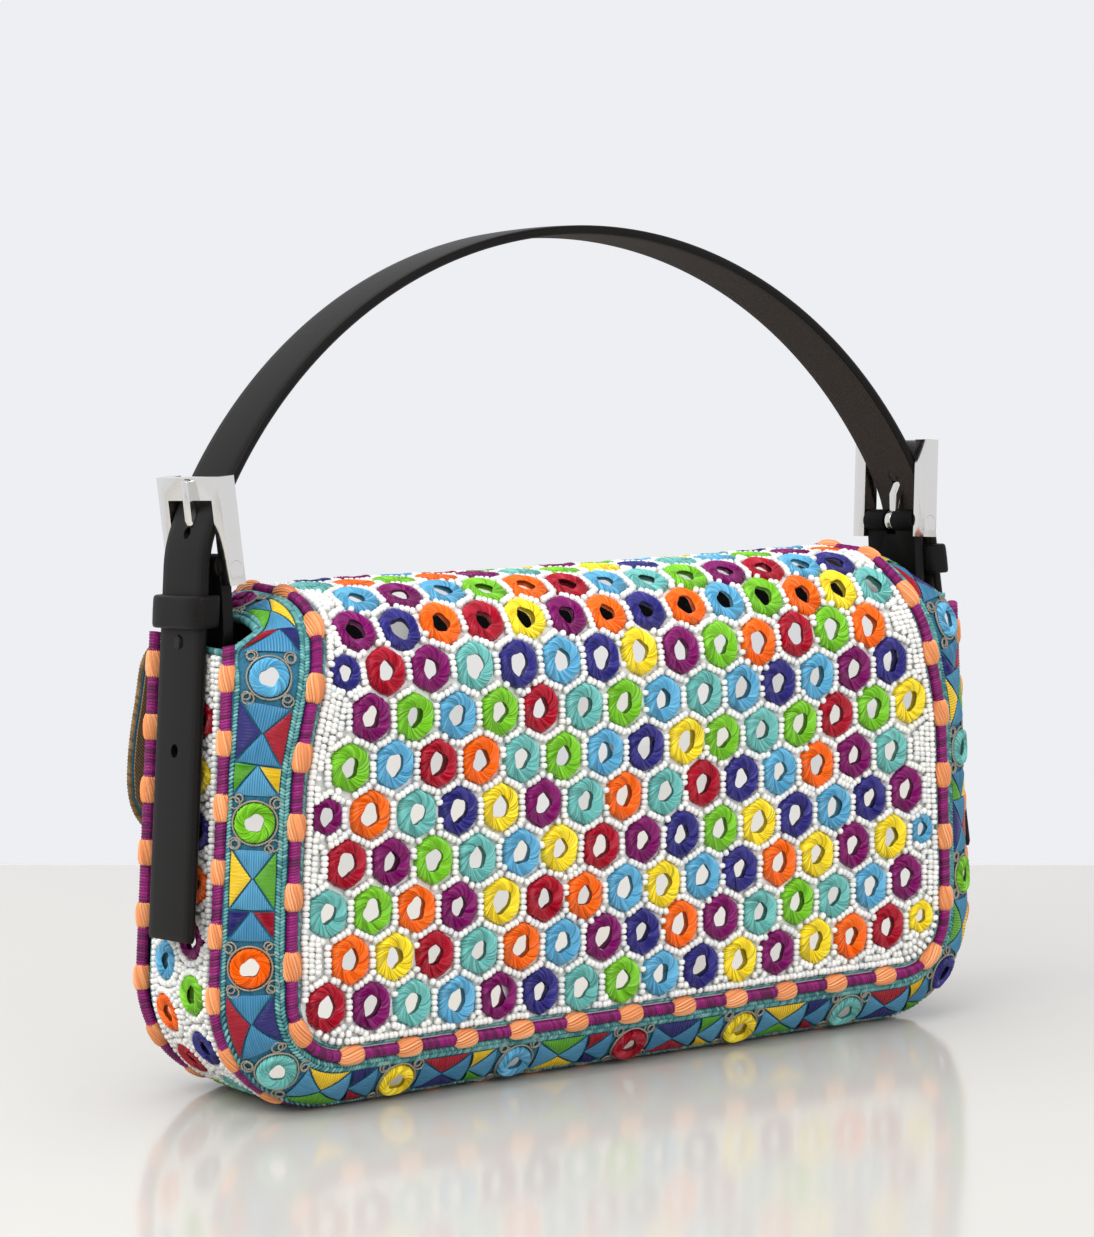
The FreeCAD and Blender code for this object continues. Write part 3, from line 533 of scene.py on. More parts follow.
def beads(sp, surf, a, painted_shade, ang, rng, h=0.95, size=1.0):
    a, painted_shade, ang = (np.asarray(x, float) for x in (a, painted_shade, ang))
    k = len(a)
    a = a + rng.normal(0, 0.07, k)
    painted_shade = painted_shade + rng.normal(0, 0.07, k)
    ang = ang + rng.normal(0, 0.1, k)
    c, ta, tb, n = surf.frame(a, painted_shade)
    n = unit(n + rng.normal(0, 0.06, (k, 3)))
    R = rotation(np.cos(ang)[:, None] * ta + np.sin(ang)[:, None] * tb, n)
    sc = size * (1 + rng.normal(0, 0.035, (k, 3)))
    c = c + n * (h + rng.normal(0, 0.06, k))[:, None]
    sp.instances(BEAD_V, BEAD_F, R * sc[:, None, :], c, rng.choice(3, k, p=[0.5, 0.28, 0.22]))


RING_F = np.array([0, 0.03, 0.12, 0.25, 0.41, 0.6, 0.8, 0.94, 1.0, 0.95, 0.62])
RING_H = np.array([0.02, 0.4, 0.77, 0.97, 1.0, 0.95, 0.84, 0.72, 0.6, 0.5, 0.21])


def rings(sp, surf, C, size, tone, rng, nth=120, swirl=0.75, hgt=2.25, hexed=0.45, r0=6.4, tall=1.0):
    """thread rings: every thread leaves the outer edge, goes over the crest and turns in under the rim of the hole"""
    n = len(C)
    if n == 0:
        return np.zeros(0)
    th = np.arange(nth) / nth * 2 * np.pi
    ph = np.mod(th + np.pi / 6, np.pi / 3) - np.pi / 6
    out = r0 * (1 + hexed * (1 / np.cos(ph) - 1))
    k3, k5, kr = rng.uniform(0, 6.28, (n, 1)), rng.uniform(0, 6.28, (n, 1)), rng.uniform(2.45, 3.0, (n, 1))
    hole = kr * (1 + 0.07 * np.cos(3 * th + k3) + 0.045 * np.cos(5 * th + k5) - 0.07 * np.cos(2 * th)) * r0 / 6.0
    outer = out * (1 + 0.02 * np.cos(2 * th + k5) + rng.normal(0, 0.012, (n, nth)))
    ridge = np.where(np.arange(nth) % 2 == 0, 1.0, -1.0)
    f = RING_F[None, :, None]
    r = outer[:, None, :] * (1 - f) + hole[:, None, :] * f
    amp = (np.array([0.3, 0.9, 1, 1, 1, 1, 0.9, 0.8, 0.5, 0.2, 0]) * 0.1)[None, :, None]
    jit = rng.normal(0, 0.05, (n, 1, nth))
    h = hgt * rng.uniform(0.9, 1.08, (n, 1, 1)) * RING_H[None, :, None] + amp * ridge + jit * RING_H[None, :, None]
    r = r + np.where(f < 0.1, amp * ridge * 0.7, 0)
    t2 = th + swirl * f + rng.uniform(0, 0.07, (n, 1, 1))
    sz = np.asarray(size)[:, None, None]
    u, v = r * np.cos(t2) * sz, r * np.sin(t2) * sz * tall
    P = surf.at(C[:, 0][:, None, None] + u, C[:, 1][:, None, None] + v, h * (0.55 + 0.45 * sz))
    fq = grid_faces(len(RING_F), nth, close_v=True)[:, ::-1]
    off = np.arange(n)[:, None, None] * (len(RING_F) * nth)
    # random tones per thread, then painted shade: most odd faces, one side of each ridge, take the darker b tone
    tint = rng.choice([0, 2, 1], (n, nth), p=[0.5, 0.4, 0.1])
    tint[:, 1::2] = np.where(rng.random((n, nth // 2)) < 0.62, 1, 0)
    m = np.asarray(tone)[:, None] * 3 + tint
    m = np.repeat(m[:, None, :], len(RING_F) - 1, axis=1)
    # painted shade: the last two rows, turned in under the rim of the hole, take the darker b tone
    m[:, -2:] = np.asarray(tone)[:, None, None] * 3 + 1
    sp.add(P.reshape(-1, 3), (fq[None] + off).reshape(-1, 4), m.ravel())
    return hole.max(1) * np.asarray(size)


def mirrors(sp, surf, C, rad, rng, h=0.42, tilt=3.0):
    n = len(C)
    if n == 0:
        return
    c, ta, tb, nn = surf.frame(C[:, 0], C[:, 1])
    g = rng.normal(0, math.radians(tilt), (n, 2))
    nn = unit(nn + g[:, :1] * ta + g[:, 1:] * tb)
    x = unit(np.cross(tb, nn))
    R = np.stack([x, np.cross(nn, x), nn], -1)
    k = 24
    a = np.arange(k) / k * 2 * np.pi
    ring = lambda r, z: np.stack([r * np.cos(a), r * np.sin(a), np.full(k, z)], -1)
    tv = np.concatenate([ring(1, -0.45), ring(1, -0.06), ring(0.96, 0), [[0, 0, 0]]])
    q = grid_faces(3, k, close_v=True)[:, ::-1]
    fan = np.stack([np.arange(k) + 2 * k, (np.arange(k) + 1) % k + 2 * k, np.full(k, 3 * k)], -1)
    Rs = R * np.stack([rad, rad, np.ones(n)], -1)[:, None, :]
    pos = c + nn * h
    sp.instances(tv, [fan], Rs, pos, rng.choice(2, n, p=[0.75, 0.25]))
    sp.instances(tv, [q, np.array([np.arange(k)[::-1]])], Rs, pos, 2)


def capsule(n=6):
    a = np.arange(n) / n * 2 * np.pi
    rr, zz, up = [0.4, 0.95, 1.0, 0.95, 0.4], [-1, -0.72, 0, 0.72, 1], [-0.35, 0.0, 0.3, 0.0, -0.35]
    v = np.concatenate([np.stack([r * np.cos(a), r * np.sin(a) + u, np.full(n, z)], -1) for r, z, u in zip(rr, zz, up)])
    return v, [grid_faces(5, n, close_v=True)[:, ::-1], np.array([np.arange(n)[::-1]]), np.array([np.arange(n) + 4 * n])]


CAP_V, CAP_F = capsule()


def stitches(sp, surf, a0, b0, a1, b1, h, r, m):
    """thread stitches lying on a surface, each from (a0, b0) to (a1, b1)"""
    P0, P1 = surf.at(a0, b0, h + 0 * np.asarray(a0, float)), surf.at(a1, b1, h + 0 * np.asarray(a0, float))
    n = surf.frame((np.asarray(a0) + a1) / 2, (np.asarray(b0) + b1) / 2)[3]
    d = P1 - P0
    ln = np.linalg.norm(d, axis=1)
    R = rotation(d, n)
    sc = np.stack([r + 0 * ln, r + 0 * ln, ln / 2], -1)
    sp.instances(CAP_V, CAP_F, R * sc[:, None, :], (P0 + P1) / 2, m)


def frames_of(P, n):
    """side vectors of a path with given out-of-cloth normals"""
    t = unit(np.gradient(P, axis=0))
    painted_shade = unit(np.cross(t, n))
    return t, painted_shade, np.cross(painted_shade, t)


def wrapped(sp, P, n, r, rng, pitch=0.8, around=12, ridge=0.12, slant=0.45, flat=1.0, caps=True):
    """cord along P, wound with thread: a ridge to every turn"""
    d = np.concatenate([[0], np.cumsum(np.linalg.norm(np.diff(P, axis=0), axis=1))])
    k = max(4, int(d[-1] / (pitch / 2)))
    u = np.linspace(0, d[-1], k)
    P = np.stack([np.interp(u, d, P[:, i]) for i in range(3)], -1)
    n = unit(np.stack([np.interp(u, d, n[:, i]) for i in range(3)], -1))
    t, painted_shade, n = frames_of(P, n)
    a = np.arange(around) / around * 2 * np.pi
    rr = r + np.where(np.arange(k) % 2 == 0, ridge, -ridge)[:, None] + rng.normal(0, 0.02, (k, around))
    V = P[:, None] + rr[..., None] * (np.cos(a)[None, :, None] * painted_shade[:, None] + flat * np.sin(a)[None, :, None] * n[:, None]) + (slant * np.cos(a))[None, :, None] * t[:, None]
    f = grid_faces(k, around, close_v=True)
    tint = np.repeat(rng.choice(3, (k + 1) // 2 + 1, p=[0.5, 0.28, 0.22]), 2)[1:k]
    base = sp.nv
    sp.add(V, f, np.repeat(tint, around))
    if caps:
        for cap in (np.arange(around), np.arange(around)[::-1] + (k - 1) * around):
            sp.L.append(cap + base)
            sp.N.append(np.array([around]))
            sp.M.append(np.array([0]))


def knots(sp, surf, t, e, h, rng, length=8.5, width=2.7, tall=2.35, around=34):
    """oval knots worked over a cord, strands lengthwise"""
    k = len(t)
    if k == 0:
        return
    x = np.array([-1, -0.93, -0.75, -0.45, -0.12, 0.2, 0.5, 0.78, 0.94, 1])
    w = np.array([0.42, 0.63, 0.86, 0.98, 1.0, 1.0, 0.96, 0.83, 0.6, 0.4])
    a = np.arange(around) / around * 2 * np.pi
    ln = length / 2 * rng.uniform(0.93, 1.06, k)
    tt = t[:, None] + ln[:, None] * x
    c, A, O, n = surf.frame(tt, np.broadcast_to(np.asarray(e), (k,))[:, None] + 0 * tt)
    c = c + n * h
    rr = w[None, :, None] + np.where(np.arange(around) % 2 == 0, 0.045, -0.045) + rng.normal(0, 0.015, (k, 1, around))
    tw = a + 0.5 * x[:, None]
    V = c[:, :, None] + rr[..., None] * (width * np.cos(tw)[None, ..., None] * O[:, :, None] + tall * np.sin(tw)[None, ..., None] * n[:, :, None])
    f = grid_faces(len(x), around, close_v=True)
    off = np.arange(k)[:, None, None] * (len(x) * around)
    tint = rng.choice([3, 5], (k, around), p=[0.6, 0.4])
    # painted shade: most odd faces, one side of each strand's ridge, take the darker tone
    tint[:, 1::2] = np.where(rng.random((k, around // 2)) < 0.6, 4, 3)
    m = np.repeat(tint[:, None, :], len(x) - 1, axis=1)
    base = sp.nv
    sp.add(V.reshape(-1, 3), (f[None] + off).reshape(-1, 4), m.ravel())
    for cap in (np.arange(around), np.arange(around)[::-1] + (len(x) - 1) * around):
        sp.L.append((cap[None] + base + off[:, :, 0]).ravel())
        sp.N.append(np.full(k, around))
        sp.M.append(np.full(k, 3))


# ---------------------------------------------------------------- the honeycomb fields
PP, PS = 14.35, 13.5


def row_shape(p, s):
    """rows hang a little in the middle of the panel"""
    return (4.6 * (p / 105) ** 2 + 1.4 * p / 105) * (1 - smooth((s - 105) / 50))


class Spots:
    """bead places with a least distance between them"""

    def __init__(self):
        self.g, self.out = {}, []

    def free(self, a, painted_shade, gap):
        i, j = int(a // 2.5), int(painted_shade // 2.5)
        for x in (i - 1, i, i + 1):
            for y in (j - 1, j, j + 1):
                for c, d in self.g.get((x, y), ()):
                    if (a - c) ** 2 + (painted_shade - d) ** 2 < gap * gap:
                        return False
        return True

    def put(self, a, painted_shade, ang, gap):
        if not self.free(a, painted_shade, gap):
            return False
        self.g.setdefault((int(a // 2.5), int(painted_shade // 2.5)), []).append((a, painted_shade))
        self.out.append((a, painted_shade, ang))
        return True


def pick_tone(near, rng):
    w = np.array([1.7, 1.1, 1.0, 1.0, 1.15, 1.0, 1.1, 1.0])
    for t in near:
        w[t] *= 0.04
    return int(rng.choice(8, p=w / w.sum()))


def lay_field(rows, hi, rhi, rng, bare=None):
    """ring centres, sizes and tones, and the beads between them, in panel coordinates"""
    C, Z, T = [], [], []
    for k in rows:
        s0 = 27 + PS * k
        wander = rng.normal(0, 0.5)
        for i in range(-9, 10):
            p = 1.5 + PP * (i + (0.5 if k % 2 == 0 else 0.0)) + wander
            s = s0 + float(row_shape(p, s0))
            d = float(inside(np.array(p), np.array(s), hi, rhi))
            z = 1.0
            if d < 10.2:
                if d < 7.2:
                    continue
                z = 0.76 if d > 8.6 else 0.68
                p -= math.copysign(1.3, p) * (10.2 - d) / 3 * (1 if abs(p) > 95 else 0)
            if bare is not None and math.hypot(p - bare[0], s - bare[1]) < bare[2] + 6.5 * z:
                continue
            p, s = p + rng.normal(0, 0.28), s + rng.normal(0, 0.28)
            near = [T[j] for j in range(len(C)) if abs(C[j][0] - p) < 16 and abs(C[j][1] - s) < 15]
            C.append((p, s))
            Z.append(z)
            T.append(pick_tone(near, rng))
    C, Z, T = np.array(C), np.array(Z), np.array(T)
    sp = Spots()
    r_in = 6.0

    def ok(p, s, edge):
        if float(inside(np.array(p), np.array(s), hi, rhi)) < edge:
            return False
        if bare is not None and math.hypot(p - bare[0], s - bare[1]) < bare[2]:
            return False
        u, v = (p - C[:, 0]) / (r_in * Z + 0.78), (s - C[:, 1]) / (r_in * 1.09 * Z + 0.72)
        return bool((u * u + v * v).min() > 1.0)

    lines = []
    for (p, s), z in zip(C, Z):
        hw, hh, hr = PP / 2 * z, 5.05 * z, 3.4 * z
        pts = [(-hw, -hh), (-hw, hh), (0, hh + hr), (hw, hh), (hw, -hh), (0, -hh - hr)]
        for a, painted_shade in zip(pts, pts[1:] + pts[:1]):
            lines.append(((p + a[0], s + a[1]), (p + painted_shade[0], s + painted_shade[1])))
    for (x0, y0), (x1, y1) in lines:
        ln = math.hypot(x1 - x0, y1 - y0)
        n = max(2, int(round(ln / 1.6)))
        for q in range(n):
            f = (q + 0.5) / n
            x, y = x0 + (x1 - x0) * f, y0 + (y1 - y0) * f
            if ok(x, y, 5.4):
                sp.put(x, y, math.atan2(y1 - y0, x1 - x0), 1.46)
    return C, Z, T, sp, ok


def edge_lines(sp, ok, band, depths, t0, t1):
    """lines of beads that follow the inner cord"""
    for d in depths:
        n = int((t1 - t0) / 1.6)
        for t in t0 + (np.arange(n) + 0.5 * ((d * 10) % 2)) * (t1 - t0) / n:
            p = float(band.q(t, band.p) - d * band.q(t, band.ds))
            s = float(band.q(t, band.s) + d * band.q(t, band.dp))
            if ok(p, s, d - 0.6):
                sp.put(p, s, math.atan2(float(band.q(t, band.ds)), float(band.q(t, band.dp))), 1.46)


def fill_gaps(sp, ok, lo, hi, rng, n=26000):
    P, S = rng.uniform(-116, 116, n), rng.uniform(lo, hi, n)
    for gap in (2.2, 1.98):
        for p, s in zip(P, S):
            if sp.free(p, s, gap) and ok(p, s, 3.6):
                sp.put(p, s, rng.uniform(-0.5, 0.5), gap)


rng = np.random.default_rng(411)
C, Z, T, sp, ok = lay_field(range(0, 16), S_HI, RC_HI, rng)
for d in (4.1, 6.15, 8.2, 10.25):
    edge_lines(sp, ok, BB, (d,), 0.0, BB.T)
fill_gaps(sp, ok, S_LO, S_HI, rng)
BEADS = np.array(sp.out)


def go(ob, where):
    """what a piece moves with: pieces of the back and of the flap keep their place as built, any other piece goes on
    the named body
    """
    if where == "back":
        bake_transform(ob)
    elif where == "flap":
        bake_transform(ob)
    else:
        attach(ob, where)
    return ob


def put_field(name, panel, C, Z, T, beads_at, where, rng, split=2):
    cut = np.quantile(C[:, 1], np.linspace(0, 1, split + 1))
    cut[0], cut[-1] = -1e9, 1e9
    for k in range(split):
        sel = (C[:, 1] >= cut[k]) & (C[:, 1] < cut[k + 1])
        so = Soup()
        hole = rings(so, panel, C[sel], Z[sel], T[sel], rng, swirl=-0.7, hexed=0.45, r0=6.1, hgt=2.2, tall=1.1)
        ob = so.make(f"{name}_rings_{'abcd'[k]}", THREAD, sharp=48)
        go(ob, where)
        so = Soup()
        mirrors(so, panel, C[sel], hole + 1.3 * Z[sel], rng)
        go(so.make(f"{name}_mirrors_{'abcd'[k]}", MIRROR), where)
    nb = int(math.ceil(len(beads_at) / 3000))
    order = np.argsort(beads_at[:, 1])
    for k in range(nb):
        q = beads_at[order[k * len(order) // nb : (k + 1) * len(order) // nb]]
        so = Soup()
        beads(so, panel, q[:, 0], q[:, 1], q[:, 2], rng, h=1.12)
        go(so.make(f"{name}_beads_{'abcdef'[k]}", BEAD), where)


low = C[:, 1] < S_MID
put_field("back", BACK, C[low], Z[low], T[low], BEADS[BEADS[:, 1] < S_MID], "back", rng)
put_field("flap", BACK, C[~low], Z[~low], T[~low], BEADS[BEADS[:, 1] >= S_MID], "flap", rng)

# ---------------------------------------------------------------- borders: cords, braids, satin work, mirrors
class Mid:
    """length along the middle of a border, so that its motifs keep their spacing round corners"""

    def __init__(self, band, frac=0.56):
        self.band, self.frac = band, frac
        P = band.at(band.t, band.E * frac)
        self.m = np.concatenate([[0], np.cumsum(np.linalg.norm(np.diff(P, axis=0), axis=1))])

    def t(self, m):
        if self.band.closed:
            return np.interp(np.mod(m, self.m[-1]), self.m, self.band.t)
        return np.interp(m, self.m, self.band.t)

    def of(self, t):
        return float(np.interp(t, self.band.t, self.m))


class Motif:
    """surface in (length along the middle of the border, e)"""

    def __init__(self, mid):
        self.mid = mid

    def frame(self, m, e):
        m, e = np.broadcast_arrays(np.asarray(m, float), np.asarray(e, float))
        return self.mid.band.frame(self.mid.t(m), e)

    def at(self, m, e, h=0.0):
        c, _, _, n = self.frame(m, e)
        return c + np.asarray(h, float)[..., None] * n


def satin(sp, surf, A, B, C, m, rng, h0=0.28, dome=0.7, cols=37, rows=6):
    """a triangle filled with parallel threads that run from its base A-B to its other two edges"""
    A, B, C = (np.array(x, float) for x in (A, B, C))
    ab = B - A
    f = float(np.clip((C - A) @ ab / (ab @ ab), 0, 1))
    ax = C - (A + f * ab)
    a = np.linspace(0.004, 0.996, cols)
    hh = np.where(a < f, a / max(f, 1e-6), (1 - a) / max(1 - f, 1e-6)) if 0 < f < 1 else (1 - a if f == 0 else a)
    painted_shade = np.linspace(0, 1, rows)
    q = A + a[:, None, None] * ab + (painted_shade[None, :] * hh[:, None])[..., None] * ax
    ridge = np.where(np.arange(cols) % 2 == 0, 0.1, -0.1) + rng.normal(0, 0.035, cols)
    prof = np.sin(np.pi * np.clip(0.06 + 0.88 * painted_shade, 0, 1)) ** 0.6
    h = h0 + (dome * np.minimum(1, 2.4 * hh)[:, None] + ridge[:, None]) * prof[None]
    # painted shade: every other column of faces, one side of each ridge, takes the darker copy of the colour
    shaded_side = np.repeat(np.arange(cols - 1) % 2, rows - 1)
    sp.add(surf.at(q[..., 0], q[..., 1], h).reshape(-1, 3), grid_faces(cols, rows), 2 * m + shaded_side)


def loop_thread(sp, surf, m0, e0, r, rad, rng, squash=1.0):
    a = np.linspace(0, 2 * np.pi, 41)
    P = surf.at(m0 + r * np.cos(a), e0 + r * squash * np.sin(a), 0.55)
    n = surf.frame(m0 + r * np.cos(a), e0 + r * squash * np.sin(a))[3]
    wrapped(sp, P, n, rad, rng, pitch=0.85, around=6, ridge=0.09, slant=0.25)


def border(name, band, mid, ms, t0, t1, where, rng, pairs):
    """one stretch of border, t0 to t1: mirrors at ms (middle length), satin triangles between them"""
    mo = Motif(mid)
    E = lambda m: float(band.width(mid.t(m)))
    m_lo, m_hi = mid.of(t0 % band.T if band.closed and t0 >= band.T else t0), mid.of(t1) if t1 < band.T else mid.m[-1]
    here = lambda m: m_lo - 1e-6 <= np.mod(m, mid.m[-1]) < m_hi
    rg, mi, sv, tr = Soup(), Soup(), Soup(), Soup()
    tone_prev = -1
    for k, m in enumerate(ms):
        e0, e1 = 4.9, E(m) - 2.5
        ec, half = (e0 + e1) / 2, (e1 - e0) / 2
        if here(m):
            r0 = min(5.5, half * 0.98)
            C1 = np.array([[m, ec]])
            tone = pick_tone([tone_prev], rng)
            tone_prev = tone
            hole = rings(rg, mo, C1, np.array([1.0]), np.array([tone]), rng, swirl=-0.8, hexed=0.0, r0=r0, hgt=2.0)
            mirrors(mi, mo, C1, hole + 1.05, rng)
            loop_thread(sv, mo, m, ec, r0 + 0.55, 0.38, rng)
            for a in (45, 135, 225, 315):
                for rl in (1.55, 1.1):
                    q, painted_shade = r0 + 2.1 + rng.normal(0, 0.18), math.radians(a + rng.normal(0, 5))
                    loop_thread(sv, mo, m + q * math.cos(painted_shade) * 1.08, ec + q * math.sin(painted_shade), rl, 0.32, rng)
        nxt = ms[(k + 1) % len(ms)]
        if k + 1 == len(ms):
            if not band.closed:
                continue
            nxt = nxt + mid.m[-1]
        z0, z1 = m + 7.5, nxt - 7.5
        if not here((z0 + z1) / 2):
            continue
        seg = z1 - z0
        hg = seg if seg < 21.5 else seg * 0.655
        c1, c2 = z0 + hg * 0.48, z0 + hg
        pr = pairs[k % len(pairs)]

        def ec_(m, f):
            w = E(m)
            return 5.0 + (w - 2.6 - 5.0) * f

        blue = int(rng.integers(0, 2))
        satin(tr, mo, (z0, ec_(z0, 0.04)), (z0, ec_(z0, 0.96)), (c1, ec_(c1, 0.5)), blue, rng)
        satin(tr, mo, (c2, ec_(c2, 0.04)), (c2, ec_(c2, 0.96)), (c1, ec_(c1, 0.5)), blue, rng)
        satin(tr, mo, (z0 + 0.4, ec_(z0, 0.0)), (c2 - 0.4, ec_(c2, 0.0)), (c1, ec_(c1, 0.46)), pr[0], rng)
        satin(tr, mo, (z0 + 0.4, ec_(z0, 1.0)), (c2 - 0.4, ec_(c2, 1.0)), (c1, ec_(c1, 0.54)), pr[1], rng)
        if seg - hg > 4:
            pr = pairs[(k + 1) % len(pairs)]
            satin(tr, mo, (z1, ec_(z1, 0.03)), (z1, ec_(z1, 0.97)), (c2 + 0.4, ec_(c2, 0.5)), 1 - blue, rng)
            satin(tr, mo, (c2 + 0.5, ec_(c2, 0.0)), (z1 - 0.8, ec_(z1, 0.0)), (c2 + 0.5, ec_(c2, 0.46)), pr[1], rng)
            satin(tr, mo, (c2 + 0.5, ec_(c2, 1.0)), (z1 - 0.8, ec_(z1, 1.0)), (c2 + 0.5, ec_(c2, 0.54)), pr[0], rng)
    go(rg.make(f"{name}_border_rings", THREAD, sharp=48), where)
    go(mi.make(f"{name}_border_mirrors", MIRROR), where)
    go(sv.make(f"{name}_border_silver", [SILVER] * 3), where)
    go(tr.make(f"{name}_border_satin", SATIN, sharp=24), where)

    # inner cord with its knots
    tt = np.linspace(t0, t1, int((t1 - t0) / 0.5))
    so = Soup()
    wrapped(so, band.at(tt, 0.0, 1.0), band.frame(tt, 0.0 * tt)[3], 1.6, rng)
    if band.closed:
        nk = int(round(band.T / 19.3))
        kt = (np.arange(nk) + 0.36) * band.T / nk
    else:
        nk = int(round((t1 - t0) / 19.3))
        kt = t0 + (np.arange(nk) + 0.5) * (t1 - t0) / nk
    knots(so, band, kt[(kt > t0 + 1) & (kt < t1 - 1)], 0.0, 1.15, rng)
    go(so.make(f"{name}_inner_cord", CORD + KNOT, sharp=24), where)

    # teal braids: thin line inside the cord, rope outside it, finer rope at the outer edge
    so = Soup()
    n = int((t1 - t0) / 0.95)
    a = t0 + (np.arange(n) + 0.5) * (t1 - t0) / n
    tint = rng.choice(3, n, p=[0.5, 0.3, 0.2])
    stitches(so, band, a - 0.55, 0 * a + 1.9, a + 0.55, 0 * a + 3.35, 0.45, 0.5, tint)
    stitches(so, band, a + 0.55, 0 * a + 3.2, a - 0.55, 0 * a + 4.7, 0.4, 0.48, np.roll(tint, 3))
    w = band.width(a)
    stitches(so, band, a - 0.5, w - 2.3, a + 0.5, w - 1.05, 0.35, 0.45, np.roll(tint, 7))
    stitches(so, band, a - 0.8, 0 * a - 2.2, a + 0.8, 0 * a - 2.75, 0.35, 0.46, np.roll(tint, 5))
    go(so.make(f"{name}_braids", BRAID), where)


def cloth_of(name, panel, band, s0, s1, rows, where, half, replaced, t_ranges, bottom=-1.5):
    """ground cloth of a panel: the field and the border, as one closed sheet each, in one piece"""
    so = Soup()
    s = np.linspace(s0, s1, rows)
    a = np.linspace(-1, 1, 61)
    W = half(s)
    p = W[:, None] * a[None]
    S = s[:, None] + 0 * p
    shell(so, panel.at(p, S, 0.0 * p), panel.at(p, S, 0.0 * p + bottom), 0)
    for t0, t1 in t_ranges:
        t = np.linspace(t0, t1, int((t1 - t0) / 2.5))
        f = np.linspace(0, 1, 9)
        e = band.width(t)[:, None] * f[None]
        tt = t[:, None] + 0 * e
        shell(so, band.at(tt, e, 0.0 * e), band.at(tt, e, 0.0 * e + bottom), 1)
    ob = so.make(name, [CLOTH, BANDCLOTH], sharp=50)
    go(ob, where)
    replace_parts(ob, *replaced)
    return ob


def half_of(hi, rhi):
    def half(s):
        W = Wi(s)
        d = np.clip(S_LO + RC_LO - s, 0, RC_LO)
        W = W - (RC_LO - np.sqrt(np.maximum(RC_LO**2 - d**2, 0)))
        if rhi:
            d = np.clip(s - (hi - rhi), 0, rhi)
            W = W - (rhi - np.sqrt(np.maximum(rhi**2 - d**2, 0)))
        return W

    return half


i1 = np.nonzero((BB.p > 0) & (BB.s >= S_MID))[0][0]
T1 = float(BB.t[i1])
MB = Mid(BB)
# corners of the loop, at the middle of each bend
tc = [float(BB.t[np.argmin(np.abs(BB.p - sx * (w + r * 0.7071)) + np.abs(BB.s - sc))]) for sx, w, r, sc in ((-1, cw, RC_LO, S_LO + RC_LO * 0.2929), (1, cw, RC_LO, S_LO + RC_LO * 0.2929), (1, ch, RC_HI, S_HI - RC_HI * 0.2929), (-1, ch, RC_HI, S_HI - RC_HI * 0.2929))]
mc = [MB.of(t) for t in tc]
top_mirror = MB.m[-1]
ms = []
ms += list(np.linspace(mc[0], mc[1], 7)[:-1])
up = mc[2] - mc[1]
ms += [mc[1], mc[1] + 32, mc[1] + 72, mc[1] + 112] + [mc[1] + 112 + (up - 112) * k / 3 for k in (1, 2)]
ms += list(np.linspace(mc[2], mc[3], 7)[:-1])
dn = mc[0] + MB.m[-1] - mc[3]
ms += [mc[3]] + [mc[3] + (dn - 112) * k / 3 for k in (1, 2)] + [mc[3] + dn - 112, mc[3] + dn - 72, mc[3] + dn - 32]
ms = sorted(float(m % MB.m[-1]) for m in ms)
PAIRS = [(2, 3), (5, 4), (3, 2), (4, 5)]
rng = np.random.default_rng(902)
border("back", BB, MB, ms, 0.0, T1, "back", rng, PAIRS)
border("flap", BB, MB, ms, T1, BB.T, "flap", rng, PAIRS)
cloth_of("back_cloth", BACK, BB, S_LO, S_MID, 70, "back", half_of(S_HI, 0), ["back_panel"], [(0.0, T1)])
cloth_of("flap_cloth", BACK, BB, S_MID, S_HI, 44, "flap", half_of(S_HI, RC_HI), ["top_panel", "flap_panel"], [(T1, BB.T)])

# ---------------------------------------------------------------- outer cords, gussets and base
class Line:
    """a free-running line with a direction out of the bag, as a narrow surface"""

    def __init__(self, P, n):
        self.s = np.concatenate([[0], np.cumsum(np.linalg.norm(np.diff(P, axis=0), axis=1))])
        self.T = self.s[-1]
        self.P, self.n = P, unit(n)
        self.A = unit(np.gradient(P, axis=0))

    def frame(self, t, e):
        t, e = np.broadcast_arrays(np.asarray(t, float), np.asarray(e, float))
        g = lambda a: np.stack([np.interp(t, self.s, a[:, i]) for i in range(3)], -1)
        c, A, n = g(self.P), unit(g(self.A)), unit(g(self.n))
        O = unit(np.cross(A, n))
        return c + e[..., None] * O, A, O, n

    def at(self, t, e, h=0.0):
        c, _, _, n = self.frame(t, e)
        return c + np.asarray(h, float)[..., None] * n


def u_path(x_top, z_top, x_side, z_bend, cx, z_low, step=0.6):
    """one U: down the left side, round the corner, along the bottom and up the right side"""
    n = int((z_top - z_bend) / step)
    z = np.linspace(z_top, z_bend, n)
    x = -np.interp(z, [z_bend, z_top], [x_side, x_top])
    a = np.radians(np.linspace(180, 270, 90))
    rx, rz = x_side - cx, z_bend - z_low
    xs = np.concatenate([x, -cx + rx * np.cos(a)[1:], np.linspace(-cx, 0, 170)[1:]])
    zs = np.concatenate([z, z_bend + rz * np.sin(a)[1:], np.full(169, z_low)])
    return np.concatenate([np.stack([xs, zs], -1), np.stack([-xs[-2::-1], zs[-2::-1]], -1)])


def outward(q):
    t = unit(np.gradient(q, axis=0))
    return np.stack([t[:, 1], -t[:, 0]], -1)


